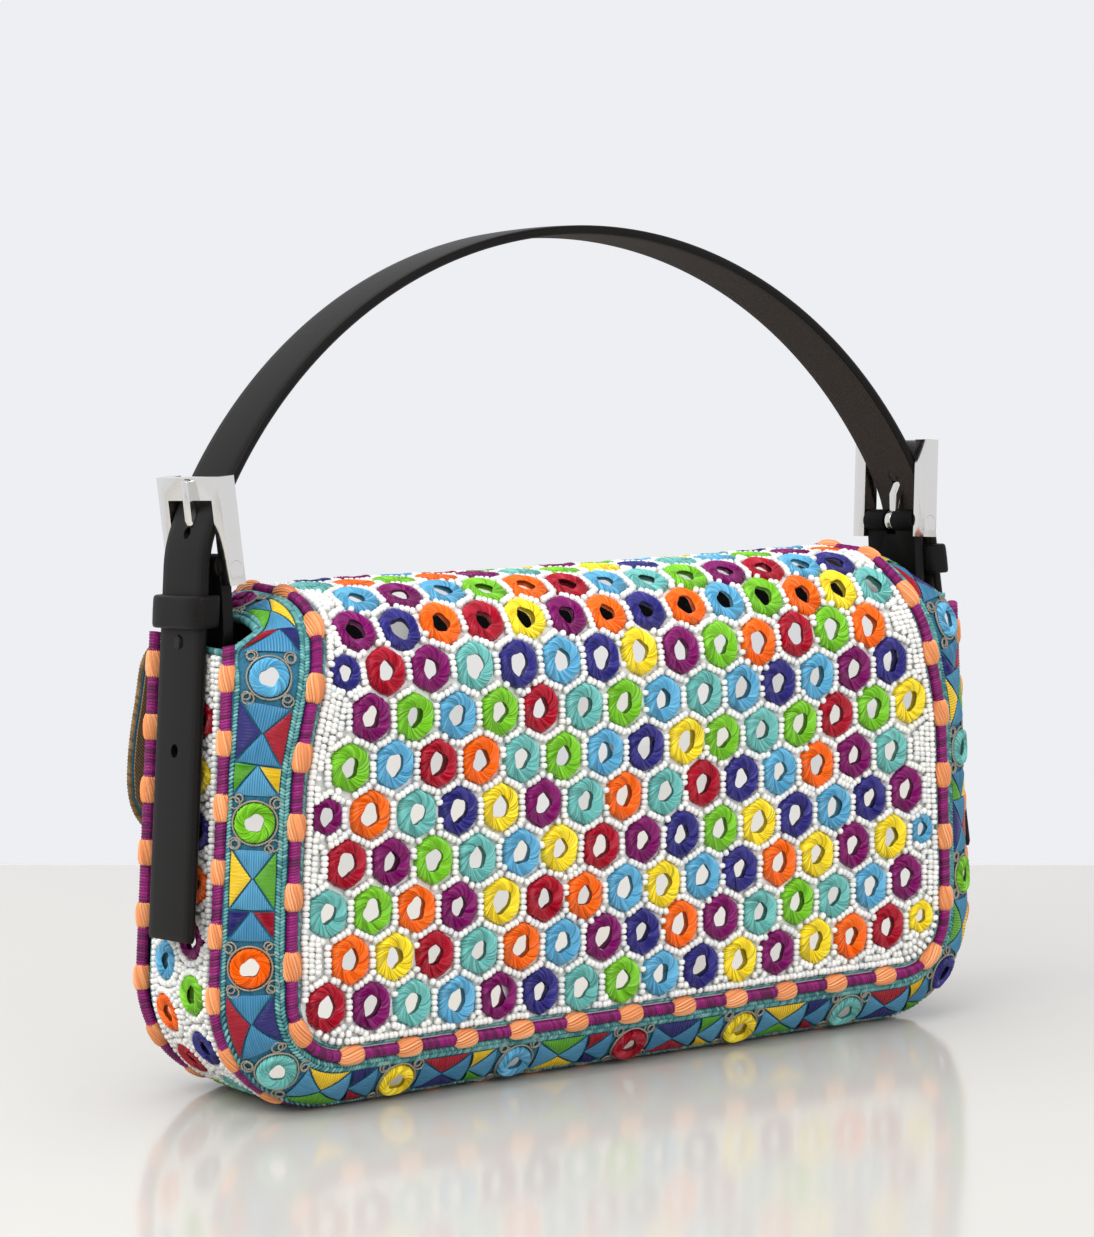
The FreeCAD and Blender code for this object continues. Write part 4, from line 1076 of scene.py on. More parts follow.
def outer_cord(name, y, node, rng):
    q = u_path(129.35, 131.6, 135.0, 34.5, 103.0, 2.62)
    o = outward(q)
    keep = (q[:, 0] < 0) | (q[:, 1] < 127.5)
    q, o = q[keep], o[keep]
    P = np.stack([q[:, 0], np.full(len(q), y), q[:, 1]], -1)
    n = np.stack([0.75 * o[:, 0], np.full(len(q), math.copysign(0.66, y)), 0.75 * o[:, 1]], -1)
    ln = Line(P, n)
    so = Soup()
    wrapped(so, P, ln.n, 1.75, rng, pitch=0.85)
    nk = int(round(ln.T / 17.8))
    knots(so, ln, (np.arange(nk) + 0.5) * ln.T / nk, 0.0, 0.0, rng, width=2.42, tall=2.42)
    ob = so.make(name, CORD + KNOT, sharp=24)
    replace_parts(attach(ob, "bag"), node)


rng = np.random.default_rng(3307)
outer_cord("back_outer_cord", -20.0, "back_piping", rng)
outer_cord("front_outer_cord", 20.0, "front_piping", rng)

GQ = u_path(128.0, 129.0, 133.2, 34.5, 103.0, 2.25)


class Strip:
    """gusset and base as one strip: l down one side, under the bag and up the other; y across"""

    def __init__(self, q):
        self.l = np.concatenate([[0], np.cumsum(np.linalg.norm(np.diff(q, axis=0), axis=1))])
        self.T, self.q, self.o = self.l[-1], q, outward(q)

    def frame(self, l, y):
        l, y = np.broadcast_arrays(np.asarray(l, float), np.asarray(y, float))
        g = lambda a: np.interp(l, self.l, a)
        ox, oz = g(self.o[:, 0]), g(self.o[:, 1])
        w = np.hypot(ox, oz)
        ox, oz, z0 = ox / w, oz / w, 0 * y
        up = g(self.q[:, 1])
        puff = 0.5 * np.cos(y / 17.7 * np.pi / 2) * smooth((up - 6) / 30) + 0.2 * np.sin(l / 11.0) * np.cos(y / 9.0) * smooth((up - 6) / 20)
        c = np.stack([g(self.q[:, 0]) + puff * ox, y, up + puff * oz], -1)
        return c, np.stack([-oz, z0, ox], -1), np.stack([z0, z0 + 1, z0], -1), np.stack([ox, z0, oz], -1)

    def at(self, l, y, h=0.0):
        c, _, _, n = self.frame(l, y)
        return c + np.asarray(h, float)[..., None] * n


GS = Strip(GQ)
l_turn = float(GS.l[np.argmin(np.abs(GQ[:, 0] + 103.0))])


def strip_part(l):
    return np.where(l < l_turn, 0, np.where(l > GS.T - l_turn, 2, 1))


gc = [(11.3 + 15.3 * k, 7.2) for k in range(40)] + [(4.2 + 15.3 * k, -7.2) for k in range(40)]
gc = np.array([c for c in gc if 9.5 < c[0] < GS.T - 9.5])
gc = gc[np.argsort(gc[:, 0])] + rng.normal(0, 0.35, (len(gc), 2))
gt = []
for k in range(len(gc)):
    gt.append(pick_tone(gt[-3:], rng))
gt = np.array(gt)
sp = Spots()


def g_ok(l, y):
    return bool((((l - gc[:, 0]) ** 2 + (y - gc[:, 1]) ** 2).min() > 6.05**2)) and abs(y) < 15.0 and 1.4 < l < GS.T - 1.4


for y in (-14.2, 14.2):
    for l in np.arange(1.5, GS.T - 1.4, 1.62):
        sp.put(l, y, 0.0, 1.46)
for c in gc:
    for a in np.arange(0, 2 * np.pi, 1.62 / 6.55):
        l, y = c[0] + 6.55 * math.cos(a), c[1] + 6.55 * math.sin(a)
        if g_ok(l, y):
            sp.put(l, y, a + math.pi / 2, 1.46)
for k, y in enumerate(np.arange(-12.0, 12.1, 2.18)):
    for l in np.arange(1.5 + 0.81 * (k % 2), GS.T - 1.4, 1.62):
        if g_ok(l, y):
            sp.put(l, y, 0.0, 1.48)
for l, y in zip(rng.uniform(1.5, GS.T - 1.5, 9000), rng.uniform(-13.4, 13.4, 9000)):
    if g_ok(l, y):
        sp.put(l, y, 0.0, 1.8)
GBE = np.array(sp.out)
for k, (nm, hg) in enumerate((("left_gusset", 2.1), ("base", 1.75), ("right_gusset", 2.1))):
    sel = strip_part(gc[:, 0]) == k
    so = Soup()
    hole = rings(so, GS, gc[sel], np.ones(sel.sum()), gt[sel], rng, swirl=-0.8, hexed=0.15, r0=5.35, hgt=hg)
    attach(so.make(f"{nm}_rings", THREAD, sharp=48), "bag")
    so = Soup()
    mirrors(so, GS, gc[sel], hole + 1.05, rng)
    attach(so.make(f"{nm}_mirrors", MIRROR), "bag")
    q = GBE[strip_part(GBE[:, 0]) == k]
    so = Soup()
    beads(so, GS, q[:, 0], q[:, 1], q[:, 2], rng, h=0.92)
    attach(so.make(f"{nm}_beads", BEAD), "bag")
    l0, l1 = ((0, l_turn), (l_turn, GS.T - l_turn), (GS.T - l_turn, GS.T))[k]
    so = Soup()
    n = int((l1 - l0) / 0.95)
    a = l0 + (np.arange(n) + 0.5) * (l1 - l0) / n
    for sg in (-1, 1):
        tint = rng.choice(3, n, p=[0.5, 0.3, 0.2])
        stitches(so, GS, a - 0.5, sg * (15.5 + 0 * a), a + 0.5, sg * (16.5 + 0 * a), 0.45, 0.46, tint)
        stitches(so, GS, a + 0.5, sg * (16.4 + 0 * a), a - 0.5, sg * (17.5 + 0 * a), 0.4, 0.46, np.roll(tint, 4))
    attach(so.make(f"{nm}_braids", BRAID), "bag")
    l = np.linspace(l0, l1, int((l1 - l0) / 3))
    y = np.linspace(-17.7, 17.7, 15)
    lg, yg = np.meshgrid(l, y, indexing="ij")
    so = Soup()
    shell(so, GS.at(lg, yg, 0.0 * lg), GS.at(lg, yg, 0.0 * lg - 0.9), 0)
    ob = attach(so.make(f"{nm}_cloth", [CLOTH], sharp=50), "bag")
    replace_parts(ob, "base_panel" if nm == "base" else nm)

# ---------------------------------------------------------------- front panel, under the flap
rng = np.random.default_rng(551)
C, Z, T, sp, ok = lay_field(range(0, 8), 125.0, 0, rng, bare=(0.0, 84.0, 9.6))
for d in (4.1, 6.15, 8.2, 10.25):
    edge_lines(sp, ok, FB, (d,), 0.0, FB.T)
fill_gaps(sp, ok, S_LO, 122.5, rng)
FBE = np.array(sp.out)
put_field("front", FRONT, C[C[:, 1] < 118], Z[C[:, 1] < 118], T[C[:, 1] < 118], FBE[FBE[:, 1] < 122.0], "bag", rng)
MF = Mid(FB)
tf = [float(FB.t[np.argmin(np.abs(FB.p - sx * (cw + RC_LO * 0.7071)) + np.abs(FB.s - (S_LO + RC_LO * 0.2929)))]) for sx in (-1, 1)]
mf = [MF.of(t) for t in tf]
fm = [mf[0] - 95, mf[0] - 64, mf[0] - 32] + list(np.linspace(mf[0], mf[1], 7)) + [mf[1] + 32, mf[1] + 64, mf[1] + 95]
border("front", FB, MF, fm, 0.0, FB.T, "bag", rng, PAIRS)
cloth_of("front_cloth", FRONT, FB, S_LO, 124.0, 46, "bag", half_of(124.0, 0), ["front_panel"], [(0.0, FB.T)])
so = Soup()
x = np.linspace(-128.6, 128.6, 300)
drop = 4.2 * smooth((np.abs(x) - 111) / 18)
wrapped(so, np.stack([x, 25.9 - drop, 123.6 + 0 * x], -1), np.stack([0 * x, 0 * x, 1 + 0 * x], -1), 1.25, rng, pitch=1.0, ridge=0.1)
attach(so.make("front_top_binding", BRAID), "bag")

# binding along the free edges: teal on the top, turned lining on the flap
for nm, where, spans in (("back", "back", [(0.0, float(BB.t[np.nonzero(BB.s < 130)[0][0]])), (float(BB.t[i1 - np.nonzero(BB.s[:i1][::-1] < 130)[0][0]]), T1)]), ("flap", "flap", [(T1, BB.T)])):
    so = Soup()
    for t0, t1 in spans:
        t = np.linspace(t0, t1, int((t1 - t0) / 0.6))
        e = BB.width(t) - 0.1
        rb = 1.15 if nm == "back" else 0.85
        wrapped(so, BB.at(t, e, -0.5 + 0 * t), BB.frame(t, e)[3], rb, rng, pitch=1.0, ridge=0.1)
    go(so.make(f"{nm}_edge_binding", BRAID if nm == "back" else FOLD), where)

# ---------------------------------------------------------------- handle: strap, tabs, keepers, buckles
def tilt(P):
    """the handle as it stands, leaning 4 degrees about its swing axis"""
    c, s_ = math.cos(math.radians(4)), math.sin(math.radians(4))
    P = np.asarray(P, float)
    y, z = P[..., 1], P[..., 2] - 134.0
    return np.stack([P[..., 0], y * c + z * s_, 134.0 + z * c - y * s_], -1)


def strap_line(step=1.2):
    a = np.radians(np.linspace(0, 64, int(math.radians(64) * 141 / step)))
    arch = np.stack([141 * np.sin(a), 101.5 + 141 * np.cos(a)], -1)
    painted_shade = np.radians(np.linspace(64, 84.36, 14))
    bend = np.stack([95.272 + 35 * np.sin(painted_shade), 147.967 + 35 * np.cos(painted_shade)], -1)[1:]
    u = np.linspace(0, 1, int(103 / step))[1:, None]
    tail = bend[-1] * (1 - u) + np.array([[140.22, 49.0]]) * u
    half = np.concatenate([arch, bend, tail])
    return np.concatenate([half[::-1] * [-1, 1], half[1:]])


def ribbon(name, q, width, thick, mats, crown=0.22, edge=0.95):
    """leather strap along q (x, z): smooth face, painted round edges, plain back"""
    t = unit(np.gradient(q, axis=0))
    n = np.stack([-t[:, 1], t[:, 0]], -1)
    w, h = width / 2, thick / 2
    u = np.linspace(-1, 1, 9)
    top = np.stack([u * (w - edge), h - crown * u**2], -1)
    bot = np.stack([-u * (w - edge), -h + 0.1 * u**2], -1)
    a = np.radians([60, 30, 0, -30, -60])
    er = np.stack([w - edge + edge * np.cos(a), (h - crown) * np.sin(a)], -1)
    el = np.stack([-w + edge - edge * np.cos(a), -(h - crown) * np.sin(a)], -1)
    sec = np.concatenate([top, er, bot, el])
    k = len(sec)
    d = np.concatenate([[0], np.cumsum(np.linalg.norm(np.diff(q, axis=0), axis=1))])
    ends = np.minimum(d, d[-1] - d)
    nar = 1.0 - 0.03 * (1 - smooth(ends / 1.6)) ** 2
    thin = 1.0 - 0.28 * (1 - smooth(ends / 1.2)) ** 2
    V = np.stack([q[:, None, 0] + n[:, None, 0] * sec[None, :, 1] * thin[:, None], sec[None, :, 0] * nar[:, None] + 0 * q[:, None, 0], q[:, None, 1] + n[:, None, 1] * sec[None, :, 1] * thin[:, None]], -1)
    so = Soup()
    f = grid_faces(len(q), k, close_v=True)
    part = np.concatenate([np.zeros(8), np.ones(6), np.full(8, 2), np.ones(6)]).astype(int)
    so.add(tilt(V).reshape(-1, 3), f, np.tile(part, len(q) - 1))
    for cap in (np.arange(k)[::-1], np.arange(k) + (len(q) - 1) * k):
        so.L.append(cap)
        so.N.append(np.array([k]))
        so.M.append(np.array([1]))
    return so.make(name, mats)


def rod(P0, P1, r, n=28):
    """closed cylinder between two points, to cut holes with"""
    P0, P1 = np.array(P0, float), np.array(P1, float)
    ax = unit(P1 - P0)
    x = unit(np.cross(ax, [0, 1, 0.01]))
    y = np.cross(ax, x)
    a = np.arange(n) / n * 2 * np.pi
    c = np.cos(a)[:, None] * x + np.sin(a)[:, None] * y
    so = Soup()
    so.add(np.concatenate([P0 + r * c, P1 + r * c]), grid_faces(2, n, close_v=True))
    so.L += [np.arange(n)[::-1], np.arange(n) + n]
    so.N += [np.array([n]), np.array([n])]
    so.M += [np.array([0]), np.array([0])]
    return so.make("cutter", [EDGEPAINT])


def cut(ob, cutters, sharp=35):
    for c in cutters:
        m = ob.modifiers.new("hole", "BOOLEAN")
        m.operation, m.object, m.solver = "DIFFERENCE", c, "EXACT"
        m.material_mode = "TRANSFER"
    bpy.context.view_layer.update()
    me = bpy.data.meshes.new_from_object(ob.evaluated_get(bpy.context.evaluated_depsgraph_get()))
    ob.modifiers.clear()
    old = ob.data
    ob.data = me
    me.name = ob.name
    bpy.data.meshes.remove(old)
    for c in cutters:
        cm = c.data
        bpy.data.objects.remove(c)
        bpy.data.meshes.remove(cm)
    me.set_sharp_from_angle(angle=math.radians(sharp))
    return ob


SQ = strap_line()
strap = ribbon("strap_body", SQ, 22.5, 3.0, [LEATHER, EDGEPAINT, SUEDE])
cutters = []
slope = (140.22 - 130.103) / (151.408 - 49.0)
for sg in (-1, 1):
    for z in (131.0, 101.0):
        x = sg * (130.103 + slope * (151.408 - z))
        cutters.append(rod(*tilt([[x - 6, 0, z - sg * 6 * slope], [x + 6, 0, z + sg * 6 * slope]]), 1.9))
    for z in (159.8, 162.7, 165.6):
        cutters.append(rod(*tilt([[sg * 110, 0, z - 4], [sg * 140, 0, z + 4]]), 1.75))
cut(strap, cutters)
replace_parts(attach(strap, "handle"), "shoulder_strap")


def off_pin(v):
    """distance (m) from the nearer buckle pin's axis"""
    ax = Vector((0, math.cos(math.radians(4)), -math.sin(math.radians(4))))
    w = v - Vector((math.copysign(0.1242, v.x), 0.0012207, 0.1514574))
    return (w - w.dot(ax) * ax).length


def machined(node, name, body, mats, bevel=0.4, seg=3, sharp=28, angle=32, face_mat=None, skip=None):
    """the CAD piece with its edges eased"""
    bm = bmesh.new()
    bm.from_mesh(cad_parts[node].data)
    bmesh.ops.remove_doubles(bm, verts=bm.verts, dist=2e-6)
    bmesh.ops.dissolve_limit(bm, angle_limit=math.radians(0.8), verts=bm.verts, edges=bm.edges)
    es = [e for e in bm.edges if len(e.link_faces) == 2 and e.calc_face_angle(0) > math.radians(angle) and not (skip and skip(e))]
    if bevel and es:
        bmesh.ops.bevel(bm, geom=es, offset=bevel * MM, offset_type="OFFSET", segments=seg, profile=0.5, affect="EDGES", clamp_overlap=True)
    for f in bm.faces:
        f.smooth = True
        f.material_index = face_mat(f) if face_mat else 0
    me = bpy.data.meshes.new(name)
    bm.to_mesh(me)
    bm.free()
    for m in mats:
        me.materials.append(m)
    me.set_sharp_from_angle(angle=math.radians(sharp))
    ob = bpy.data.objects.new(name, me)
    SC.collection.objects.link(ob)
    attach(ob, body)
    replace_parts(ob, node)
    return ob


def keeper_loop(sd):
    """soft leather loop round the tail of the strap"""
    sg = -1 if sd == "left" else 1
    a = np.linspace(0, 2 * np.pi, 97)[:-1]

    def oval(hx, hy, n):
        c, s_ = np.cos(a), np.sin(a)
        return np.stack([hx * np.sign(c) * np.abs(c) ** (2 / n), hy * np.sign(s_) * np.abs(s_) ** (2 / n)], -1)

    inn, out = oval(2.85, 12.05, 4.6), oval(4.7, 13.85, 3.7)
    sec = np.array([[0, -4.2], [0, 0], [0, 4.2], [0.16, 4.5], [0.6, 4.5], [0.86, 4.2], [0.97, 3.4], [1.0, 0], [0.97, -3.4], [0.86, -4.2], [0.6, -4.5], [0.16, -4.5]])
    q = inn[:, None] + (out - inn)[:, None] * sec[None, :, :1]
    z = 139.4 + sec[None, :, 1] + 0 * q[..., 0]
    V = np.stack([sg * (130.9 + q[..., 0] + slope * (139.4 - z)), q[..., 1], z], -1)
    so = Soup()
    k = len(sec)
    f = grid_faces(96, k, close_u=True, close_v=True, flip=sg < 0)
    part = np.array([0, 0, 1, 1, 1, 0, 0, 0, 0, 1, 1, 1])
    so.add(tilt(V).reshape(-1, 3), f, np.tile(part, 96))
    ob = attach(so.make(f"{sd}_keeper_loop", [LEATHER, EDGEPAINT], sharp=50), "handle")
    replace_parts(ob, f"{sd}_keeper")


def span(pin, fr):
    """the pin's ends brought level with the outer faces of the buckle"""
    ys = [v.co.y for v in fr.data.vertices if off_pin(v.co) < 0.0024]
    lo_, hi_ = min(ys), max(ys)
    p_lo, p_hi = min(v.co.y for v in pin.data.vertices), max(v.co.y for v in pin.data.vertices)
    for v in pin.data.vertices:
        v.co.y = lo_ + (v.co.y - p_lo) * (hi_ - lo_) / (p_hi - p_lo)


edge_y = lambda f: 1 if abs(f.normal.y) > 0.75 else 0
edge_z = lambda f: 1 if abs(f.normal.z) > 0.75 else 0
for sd in ("left", "right"):
    # the tab and its root take the darker tab leather: painted shade
    machined(f"{sd}_tab", f"{sd}_tab_leather_painted_shade", "handle", [TAB_LEATHER_PAINTED_SHADE, EDGEPAINT], 0.35, face_mat=edge_y)
    keeper_loop(sd)
    machined(f"{sd}_tab_root", f"{sd}_tab_anchor", "bag", [TAB_LEATHER_PAINTED_SHADE, EDGEPAINT], 0.3, face_mat=edge_y)
    fr = machined(f"{sd}_buckle_frame", f"{sd}_buckle_frame_metal", "handle", [METAL], 0.45, skip=lambda e: all(off_pin(v.co) < 0.0026 for v in e.verts))
    pin = machined(f"{sd}_buckle_pin", f"{sd}_buckle_pin_metal", "handle", [METAL], 0.0)
    span(pin, fr)
    prong = machined(f"{sd}_prong", f"{sd}_prong_metal", f"{sd}_prong", [METAL], 0.35)
    nrm = [(v, v.normal.copy()) for v in prong.data.vertices]
    for v, q in nrm:
        v.co += q * 0.00035 * float(smooth((off_pin(v.co) * 1000 - 3.0) / 1.5))

# ---------------------------------------------------------------- linings, inner pocket and closure
def sheet_piece(so, name, body, mats, replaced, sharp=50):
    ob = so.make(name, mats, sharp=sharp)
    go(ob, body)
    if replaced:
        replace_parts(ob, *replaced)
    return ob


def under(so, s0, s1, rows, spans, hi, rhi, top=-1.72, bot=-2.25):
    """lining close under the embroidered cloth of the back, the top and the flap"""
    s = np.linspace(s0, s1, rows)
    a = np.linspace(-1, 1, 61)
    p = half_of(hi, rhi)(s)[:, None] * a[None]
    S = s[:, None] + 0 * p
    shell(so, BACK.at(p, S, 0.0 * p + top), BACK.at(p, S, 0.0 * p + bot), 0)
    for t0, t1 in spans:
        t = np.linspace(t0, t1, max(6, int((t1 - t0) / 2.5)))
        e = (BB.width(t)[:, None] - 0.5) * np.linspace(0, 1, 9)[None]
        tt = t[:, None] + 0 * e
        shell(so, BB.at(tt, e, 0.0 * e + top), BB.at(tt, e, 0.0 * e + bot), 0)


so = Soup()
under(so, S_MID, S_HI, 44, [(T1, BB.T)], S_HI, RC_HI)
sheet_piece(so, "flap_lining_cloth", "flap", [LINING], ["top_lining", "flap_lining"])
s_low = 113.0
ta, tb = float(BB.t[np.nonzero(BB.s < s_low)[0][0]]), float(BB.t[i1 - np.nonzero(BB.s[:i1][::-1] < s_low)[0][0]])
so = Soup()
under(so, s_low, S_MID, 26, [(0.0, ta), (tb, T1)], S_HI, 0)
sheet_piece(so, "back_top_lining", "back", [LINING], None)

# the lining bag: one strip for the ends and the bottom, and a sheet at the back and at the front
LQ = u_path(121.0, 119.4, 121.0, 24.0, 100.0, 3.3)
lo = outward(LQ)
yy = np.linspace(-23.2, 21.6, 12)
st = np.stack([np.repeat(LQ[:, :1], 12, 1), np.repeat(yy[None], len(LQ), 0), np.repeat(LQ[:, 1:], 12, 1)], -1)
on = np.stack([lo[:, 0], 0 * lo[:, 0], lo[:, 1]], -1)[:, None, :]
so = Soup()
shell(so, (st + 0.3 * on)[::3], (st - 0.3 * on)[::3], 0)
sheet_piece(so, "lining_strip", "bag", [LINING], ["lining_base", "lining_left", "lining_right"])


def lining_w(z):
    d = np.clip((24.0 - z) / 20.7, 0, 1)
    return 100.0 + 20.8 * np.sqrt(np.maximum(1 - d * d, 0))


def lining_face(so, x, z, y_mid, y_edge):
    """part of the back or front sheet of the lining; it turns in towards its sewn edges"""
    edge = np.minimum(lining_w(z) - np.abs(x), z - 3.4)
    y = y_mid + (y_edge - y_mid) * (1 - smooth(edge / 9.0)) + 0.15 * np.sin(x / 21.0) * np.sin(z / 17.0)
    sg = math.copysign(1.0, y_mid)
    P = np.stack([x, y, z], -1)
    shell(so, P + np.array([0, 0.3 * sg, 0]), P - np.array([0, 0.3 * sg, 0]), 0, flip=y_mid > 0)


def block(x0, x1, z0, z1, nx, nz):
    """grid from z0 to z1; x ends of None follow the outline of the lining"""
    z = np.linspace(z0, z1, nz)[:, None] + np.zeros((1, nx))
    w = lining_w(z)
    a = np.linspace(0, 1, nx)[None] + np.zeros((nz, 1))
    xa = -w if x0 is None else x0 + 0 * w
    xb = w if x1 is None else x1 + 0 * w
    return xa + (xb - xa) * a, z


so = Soup()
for x0, x1, z0, z1, nx, nz in ((None, None, 3.5, 98.0, 61, 50), (None, -82.0, 98.0, 106.0, 12, 5), (82.0, None, 98.0, 106.0, 12, 5), (None, None, 106.0, 119.6, 61, 8)):
    lining_face(so, *block(x0, x1, z0, z1, nx, nz), -26.9, -23.2)
sheet_piece(so, "lining_back_sheet", "bag", [LINING], ["lining_back"])
so = Soup()
lining_face(so, *block(None, None, 3.5, 122.0, 61, 60), 24.3, 21.6)
sheet_piece(so, "lining_front_sheet", "bag", [LINING], ["lining_front"])


def flat_patch(so, x0, x1, y0, y1, z, thick):
    x, y = np.meshgrid(np.linspace(x0, x1, 3), np.linspace(y0, y1, 5), indexing="ij")
    P = np.stack([x, y, z + 0 * x], -1)
    shell(so, P, P - np.array([0, 0, thick]), 0)


# at each end: the ledge between the lining and the gusset, with the slit that the strap tab goes through
for nm, sg in (("left", -1), ("right", 1)):
    so = Soup()
    for xa, xb, ya, yb in ((120.9, 127.7, -17.6, -11.7), (120.9, 127.7, 11.7, 17.6), (120.9, 122.2, -11.7, 11.7), (126.3, 127.7, -11.7, 11.7)):
        flat_patch(so, min(sg * xa, sg * xb), max(sg * xa, sg * xb), ya, yb, 119.5, 0.7)
    sheet_piece(so, f"{nm}_end_ledge", "bag", [LINING], None)
    so = Soup()
    y = np.linspace(-17.4, 17.4, 60)
    wrapped(so, np.stack([sg * (128.6 + 0.4 * np.cos(y / 17.7 * np.pi / 2)), y, 129.3 + 0 * y], -1), np.stack([0 * y, 0 * y, 1 + 0 * y], -1), 0.85, rng, pitch=1.0, ridge=0.1)
    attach(so.make(f"{nm}_end_binding", BRAID), "bag")

so = Soup()
for za, zb in ((93.0, 100.38), (103.62, 111.0)):
    x, z = np.meshgrid(np.linspace(-80, 80, 41), np.linspace(za, zb, 4), indexing="ij")
    P = np.stack([x, -27.85 + 0 * x, z], -1)
    shell(so, P - np.array([0, 0.22, 0]), P + np.array([0, 0.22, 0]), 0)
sheet_piece(so, "zip_tape_pair", "bag", [ZIPTAPE], ["zip_tapes"])
so = Soup()
for z in (101.02, 102.98):
    x = np.linspace(-79.5, 79.5, 800)
    wrapped(so, np.stack([x, -27.85 + 0 * x, z + 0 * x], -1), np.stack([0 * x, 1 + 0 * x, 0 * x], -1), 0.58, rng, pitch=1.25, ridge=0.2, slant=0.1)
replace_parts(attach(so.make("zip_coil_pair", [COIL] * 3), "bag"), "zip_coils")
so = Soup()
x, z = np.meshgrid(np.linspace(-90, 90, 41), np.linspace(34, 114, 21), indexing="ij")
P = np.stack([x, -29.05 + 0.1 * np.sin(x / 15) * np.sin(z / 12), z], -1)
shell(so, P - np.array([0, 0.25, 0]), P + np.array([0, 0.25, 0]), 0)
sheet_piece(so, "pocket_pouch", "bag", [LINING], ["pocket_bag"])
machined("zip_slider", "zip_slider_metal", "zip_slider", [STEEL], 0.3)
machined("zip_pull", "zip_pull_metal", "zip_pull", [STEEL], 0.25)
machined("front_snap", "front_snap_metal", "bag", [STEEL], 0.35)
machined("front_snap_washer", "front_snap_washer_metal", "bag", [STEEL], 0.1)
machined("flap_snap", "flap_snap_metal", "flap", [STEEL], 0.35)
so = Soup()
a = np.linspace(0, 2 * np.pi, 49)[:-1]
pr = np.array([[0.0, 28.0], [7.6, 28.0], [8.7, 27.7], [8.9, 27.2], [8.9, 26.3], [0.0, 26.3]])
V = np.stack([pr[None, :, 0] * np.cos(a)[:, None], pr[None, :, 1] + 0 * a[:, None], 84.0 + pr[None, :, 0] * np.sin(a)[:, None]], -1)
so.add(V.reshape(-1, 3), grid_faces(48, 6, close_u=True))
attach(so.make("front_snap_patch", [LEATHER], sharp=40), "bag")

# ---------------------------------------------------------------- stage, light and camera
CAM_A, CAM_P, CAM_D = math.radians(35.23), math.radians(6.42), 1.2
VD = Vector((math.sin(CAM_A) * math.cos(CAM_P), math.cos(CAM_A) * math.cos(CAM_P), -math.sin(CAM_P)))
TARGET = Vector((-0.0092, 0.0, 0.1295))
FLAT = Vector((math.sin(CAM_A), math.cos(CAM_A), 0))
SIDE = Vector((math.cos(CAM_A), -math.sin(CAM_A), 0))


def stage_strip():
    """pale table that ends a little behind the bag, with a plain backdrop after it"""
    far = 0.318
    so = Soup()
    d = np.array([-1.6, far])
    w = np.array([-1.8, 1.8])
    V = [np.array(FLAT) * a + np.array(SIDE) * painted_shade for a in d for painted_shade in w]
    so.add(np.array(V) * 1000, [[0, 1, 3, 2]], 0)
    fl = so.make("table_top", [mat("table_pale", (189, 186, 180), 0.12, spec=0.42)])
    so = Soup()
    V = [np.array(FLAT) * (far + 0.9) + np.array(SIDE) * painted_shade + np.array([0, 0, z]) for z in (-0.4, 2.2) for painted_shade in (-2.6, 2.6)]
    so.add(np.array(V) * 1000, [[0, 2, 3, 1]], 0)
    glow = mat("backdrop_pale", (20, 20, 20), 0.9, spec=0.0)
    glow.node_tree.nodes["Principled BSDF"].inputs["Emission Color"].default_value = lin((237, 238, 242))
    glow.node_tree.nodes["Principled BSDF"].inputs["Emission Strength"].default_value = 1.0
    bk = so.make("backdrop", [glow])
    # pale surround, seen by the camera and by what is shiny; it lights nothing else
    so = Soup()
    k = 32
    a = np.arange(k) / k * 2 * np.pi
    tube = np.concatenate([np.stack([2600 * np.cos(a), 2600 * np.sin(a), np.full(k, z)], -1) for z in (-2000.0, 4200.0)])
    so.add(tube, grid_faces(2, k, close_v=True), 0)
    so.L.append(np.arange(k))
    so.N.append(np.array([k]))
    so.M.append(np.array([0]))
    pale = mat("surround_pale", (20, 20, 20), 0.9, spec=0.0)
    pale.node_tree.nodes["Principled BSDF"].inputs["Emission Color"].default_value = lin((232, 233, 237))
    pale.node_tree.nodes["Principled BSDF"].inputs["Emission Strength"].default_value = 1.0
    pale.cycles.emission_sampling = "NONE"
    sd = so.make("surround", [pale])
    sd.visible_diffuse = sd.visible_transmission = sd.visible_shadow = False


stage_strip()


def area(name, loc, aim, size, power, tint=(1, 1, 1)):
    li = bpy.data.lights.new(name, "AREA")
    li.shape = "RECTANGLE"
    li.size, li.size_y = size
    li.energy = power
    li.color = tint
    ob = bpy.data.objects.new(name, li)
    ob.location = loc
    ob.rotation_euler = (Vector(aim) - Vector(loc)).to_track_quat("-Z", "Y").to_euler()
    SC.collection.objects.link(ob)
    ob.visible_glossy = False
    return ob


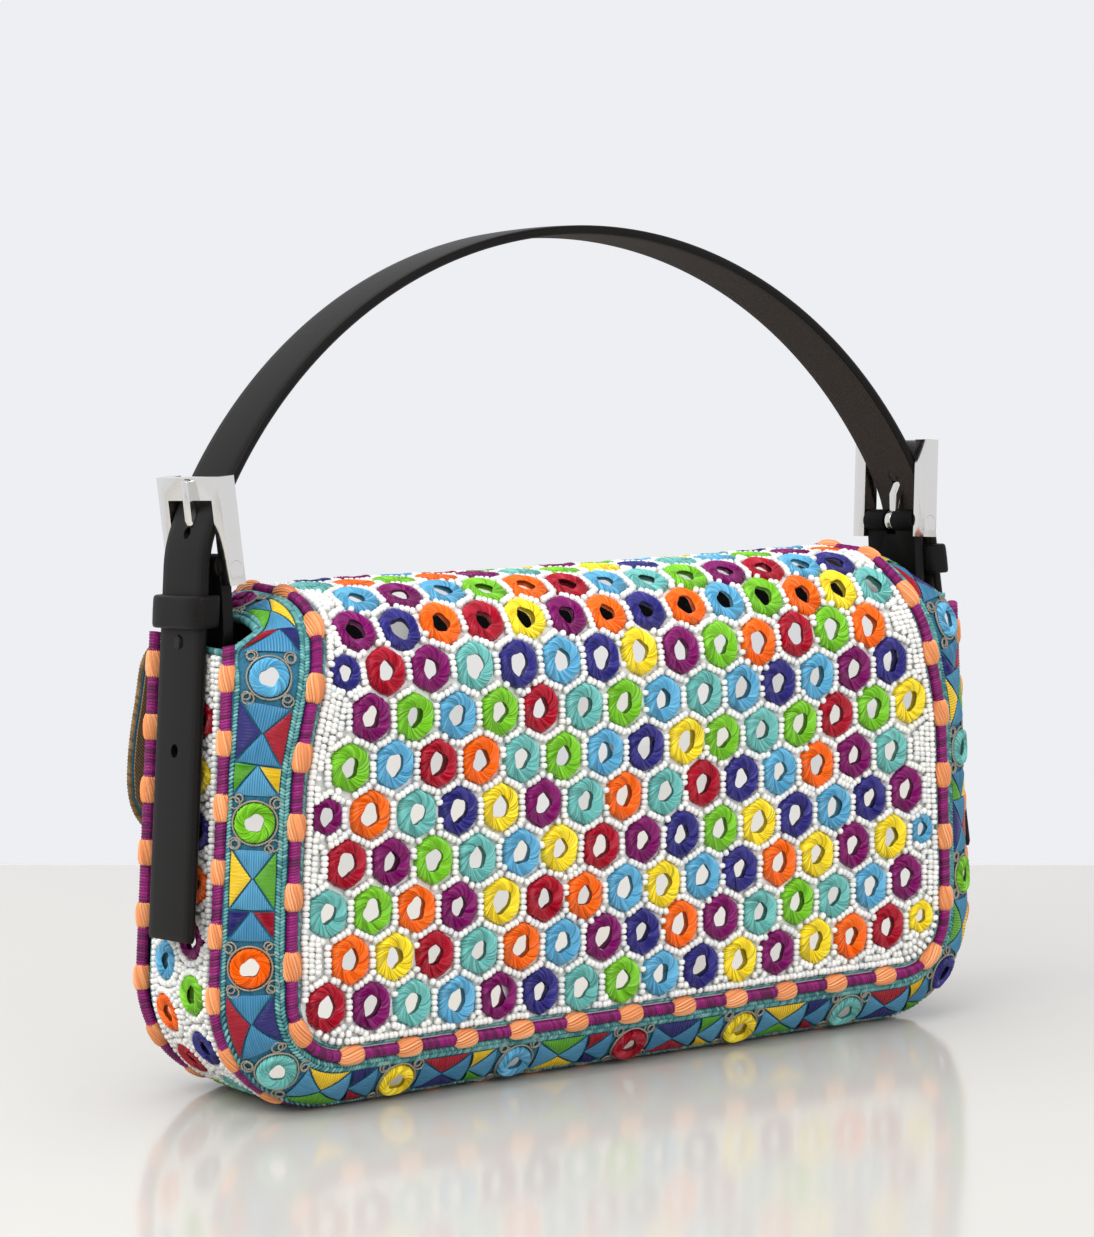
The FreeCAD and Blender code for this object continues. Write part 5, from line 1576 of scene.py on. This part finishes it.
def flag(name, at, face, size, rgb, glow=0.0):
    """studio card, dark or white, that only the mirrors and the metal see"""
    n = Vector(face).normalized()
    u = n.cross(Vector((0, 0, 1))).normalized()
    v = n.cross(u)
    so = Soup()
    V = [np.array(Vector(at) + u * a * size[0] / 2 + v * painted_shade * size[1] / 2) * 1000 for a, painted_shade in ((-1, -1), (1, -1), (1, 1), (-1, 1))]
    so.add(np.array(V), [[0, 1, 2, 3]], 0)
    card = mat(name + "_card", (12, 12, 12) if glow else rgb, 0.9, spec=0.0)
    if glow:
        card.node_tree.nodes["Principled BSDF"].inputs["Emission Color"].default_value = lin(rgb)
        card.node_tree.nodes["Principled BSDF"].inputs["Emission Strength"].default_value = glow
        card.cycles.emission_sampling = "NONE"
    ob = so.make(name, [card])
    ob.visible_camera = ob.visible_diffuse = ob.visible_shadow = False


flag("flag_high", (0.9, -0.42, 1.45), (-0.573, 0.258, -0.777), (1.1, 0.75), (16, 16, 17))


mid = Vector((0, 0, 0.1))
glint = area("soft_glint", mid - FLAT * 1.0 - SIDE * 0.25 + Vector((0, 0, 1.0)), mid, (0.6, 0.6), 3.6)
glint.visible_glossy = True
area("soft_key", mid - FLAT * 0.55 - SIDE * 0.75 + Vector((0, 0, 0.85)), mid, (1.3, 1.0), 13.8)
area("soft_fill", mid - FLAT * 0.9 + SIDE * 0.8 + Vector((0, 0, 0.55)), mid, (1.2, 1.0), 7.8)
area("soft_top", mid + FLAT * 0.15 + Vector((0, 0, 1.15)), mid, (1.2, 0.8), 8.4)

wd = bpy.data.worlds.new("studio")
wd.use_nodes = True
wd.node_tree.nodes["Background"].inputs["Color"].default_value = (0.86, 0.875, 0.91, 1)
wd.node_tree.nodes["Background"].inputs["Strength"].default_value = 0.55
SC.world = wd

cam = bpy.data.cameras.new("photo_camera")
cam.sensor_fit = "VERTICAL"
cam.sensor_height = 36.0
cam.sensor_width = 36.0 * 1094 / 1237
cam.lens = 36.0 * 4094 / 1237
cam.clip_end = 50
cob = bpy.data.objects.new("photo_camera", cam)
cob.location = TARGET - VD * CAM_D
cob.rotation_euler = VD.to_track_quat("-Z", "Y").to_euler()
SC.collection.objects.link(cob)
SC.camera = cob
SC.view_settings.view_transform = "Standard"
SC.view_settings.look = "None"
SC.view_settings.exposure = 0.0

bpy.context.view_layer.update()
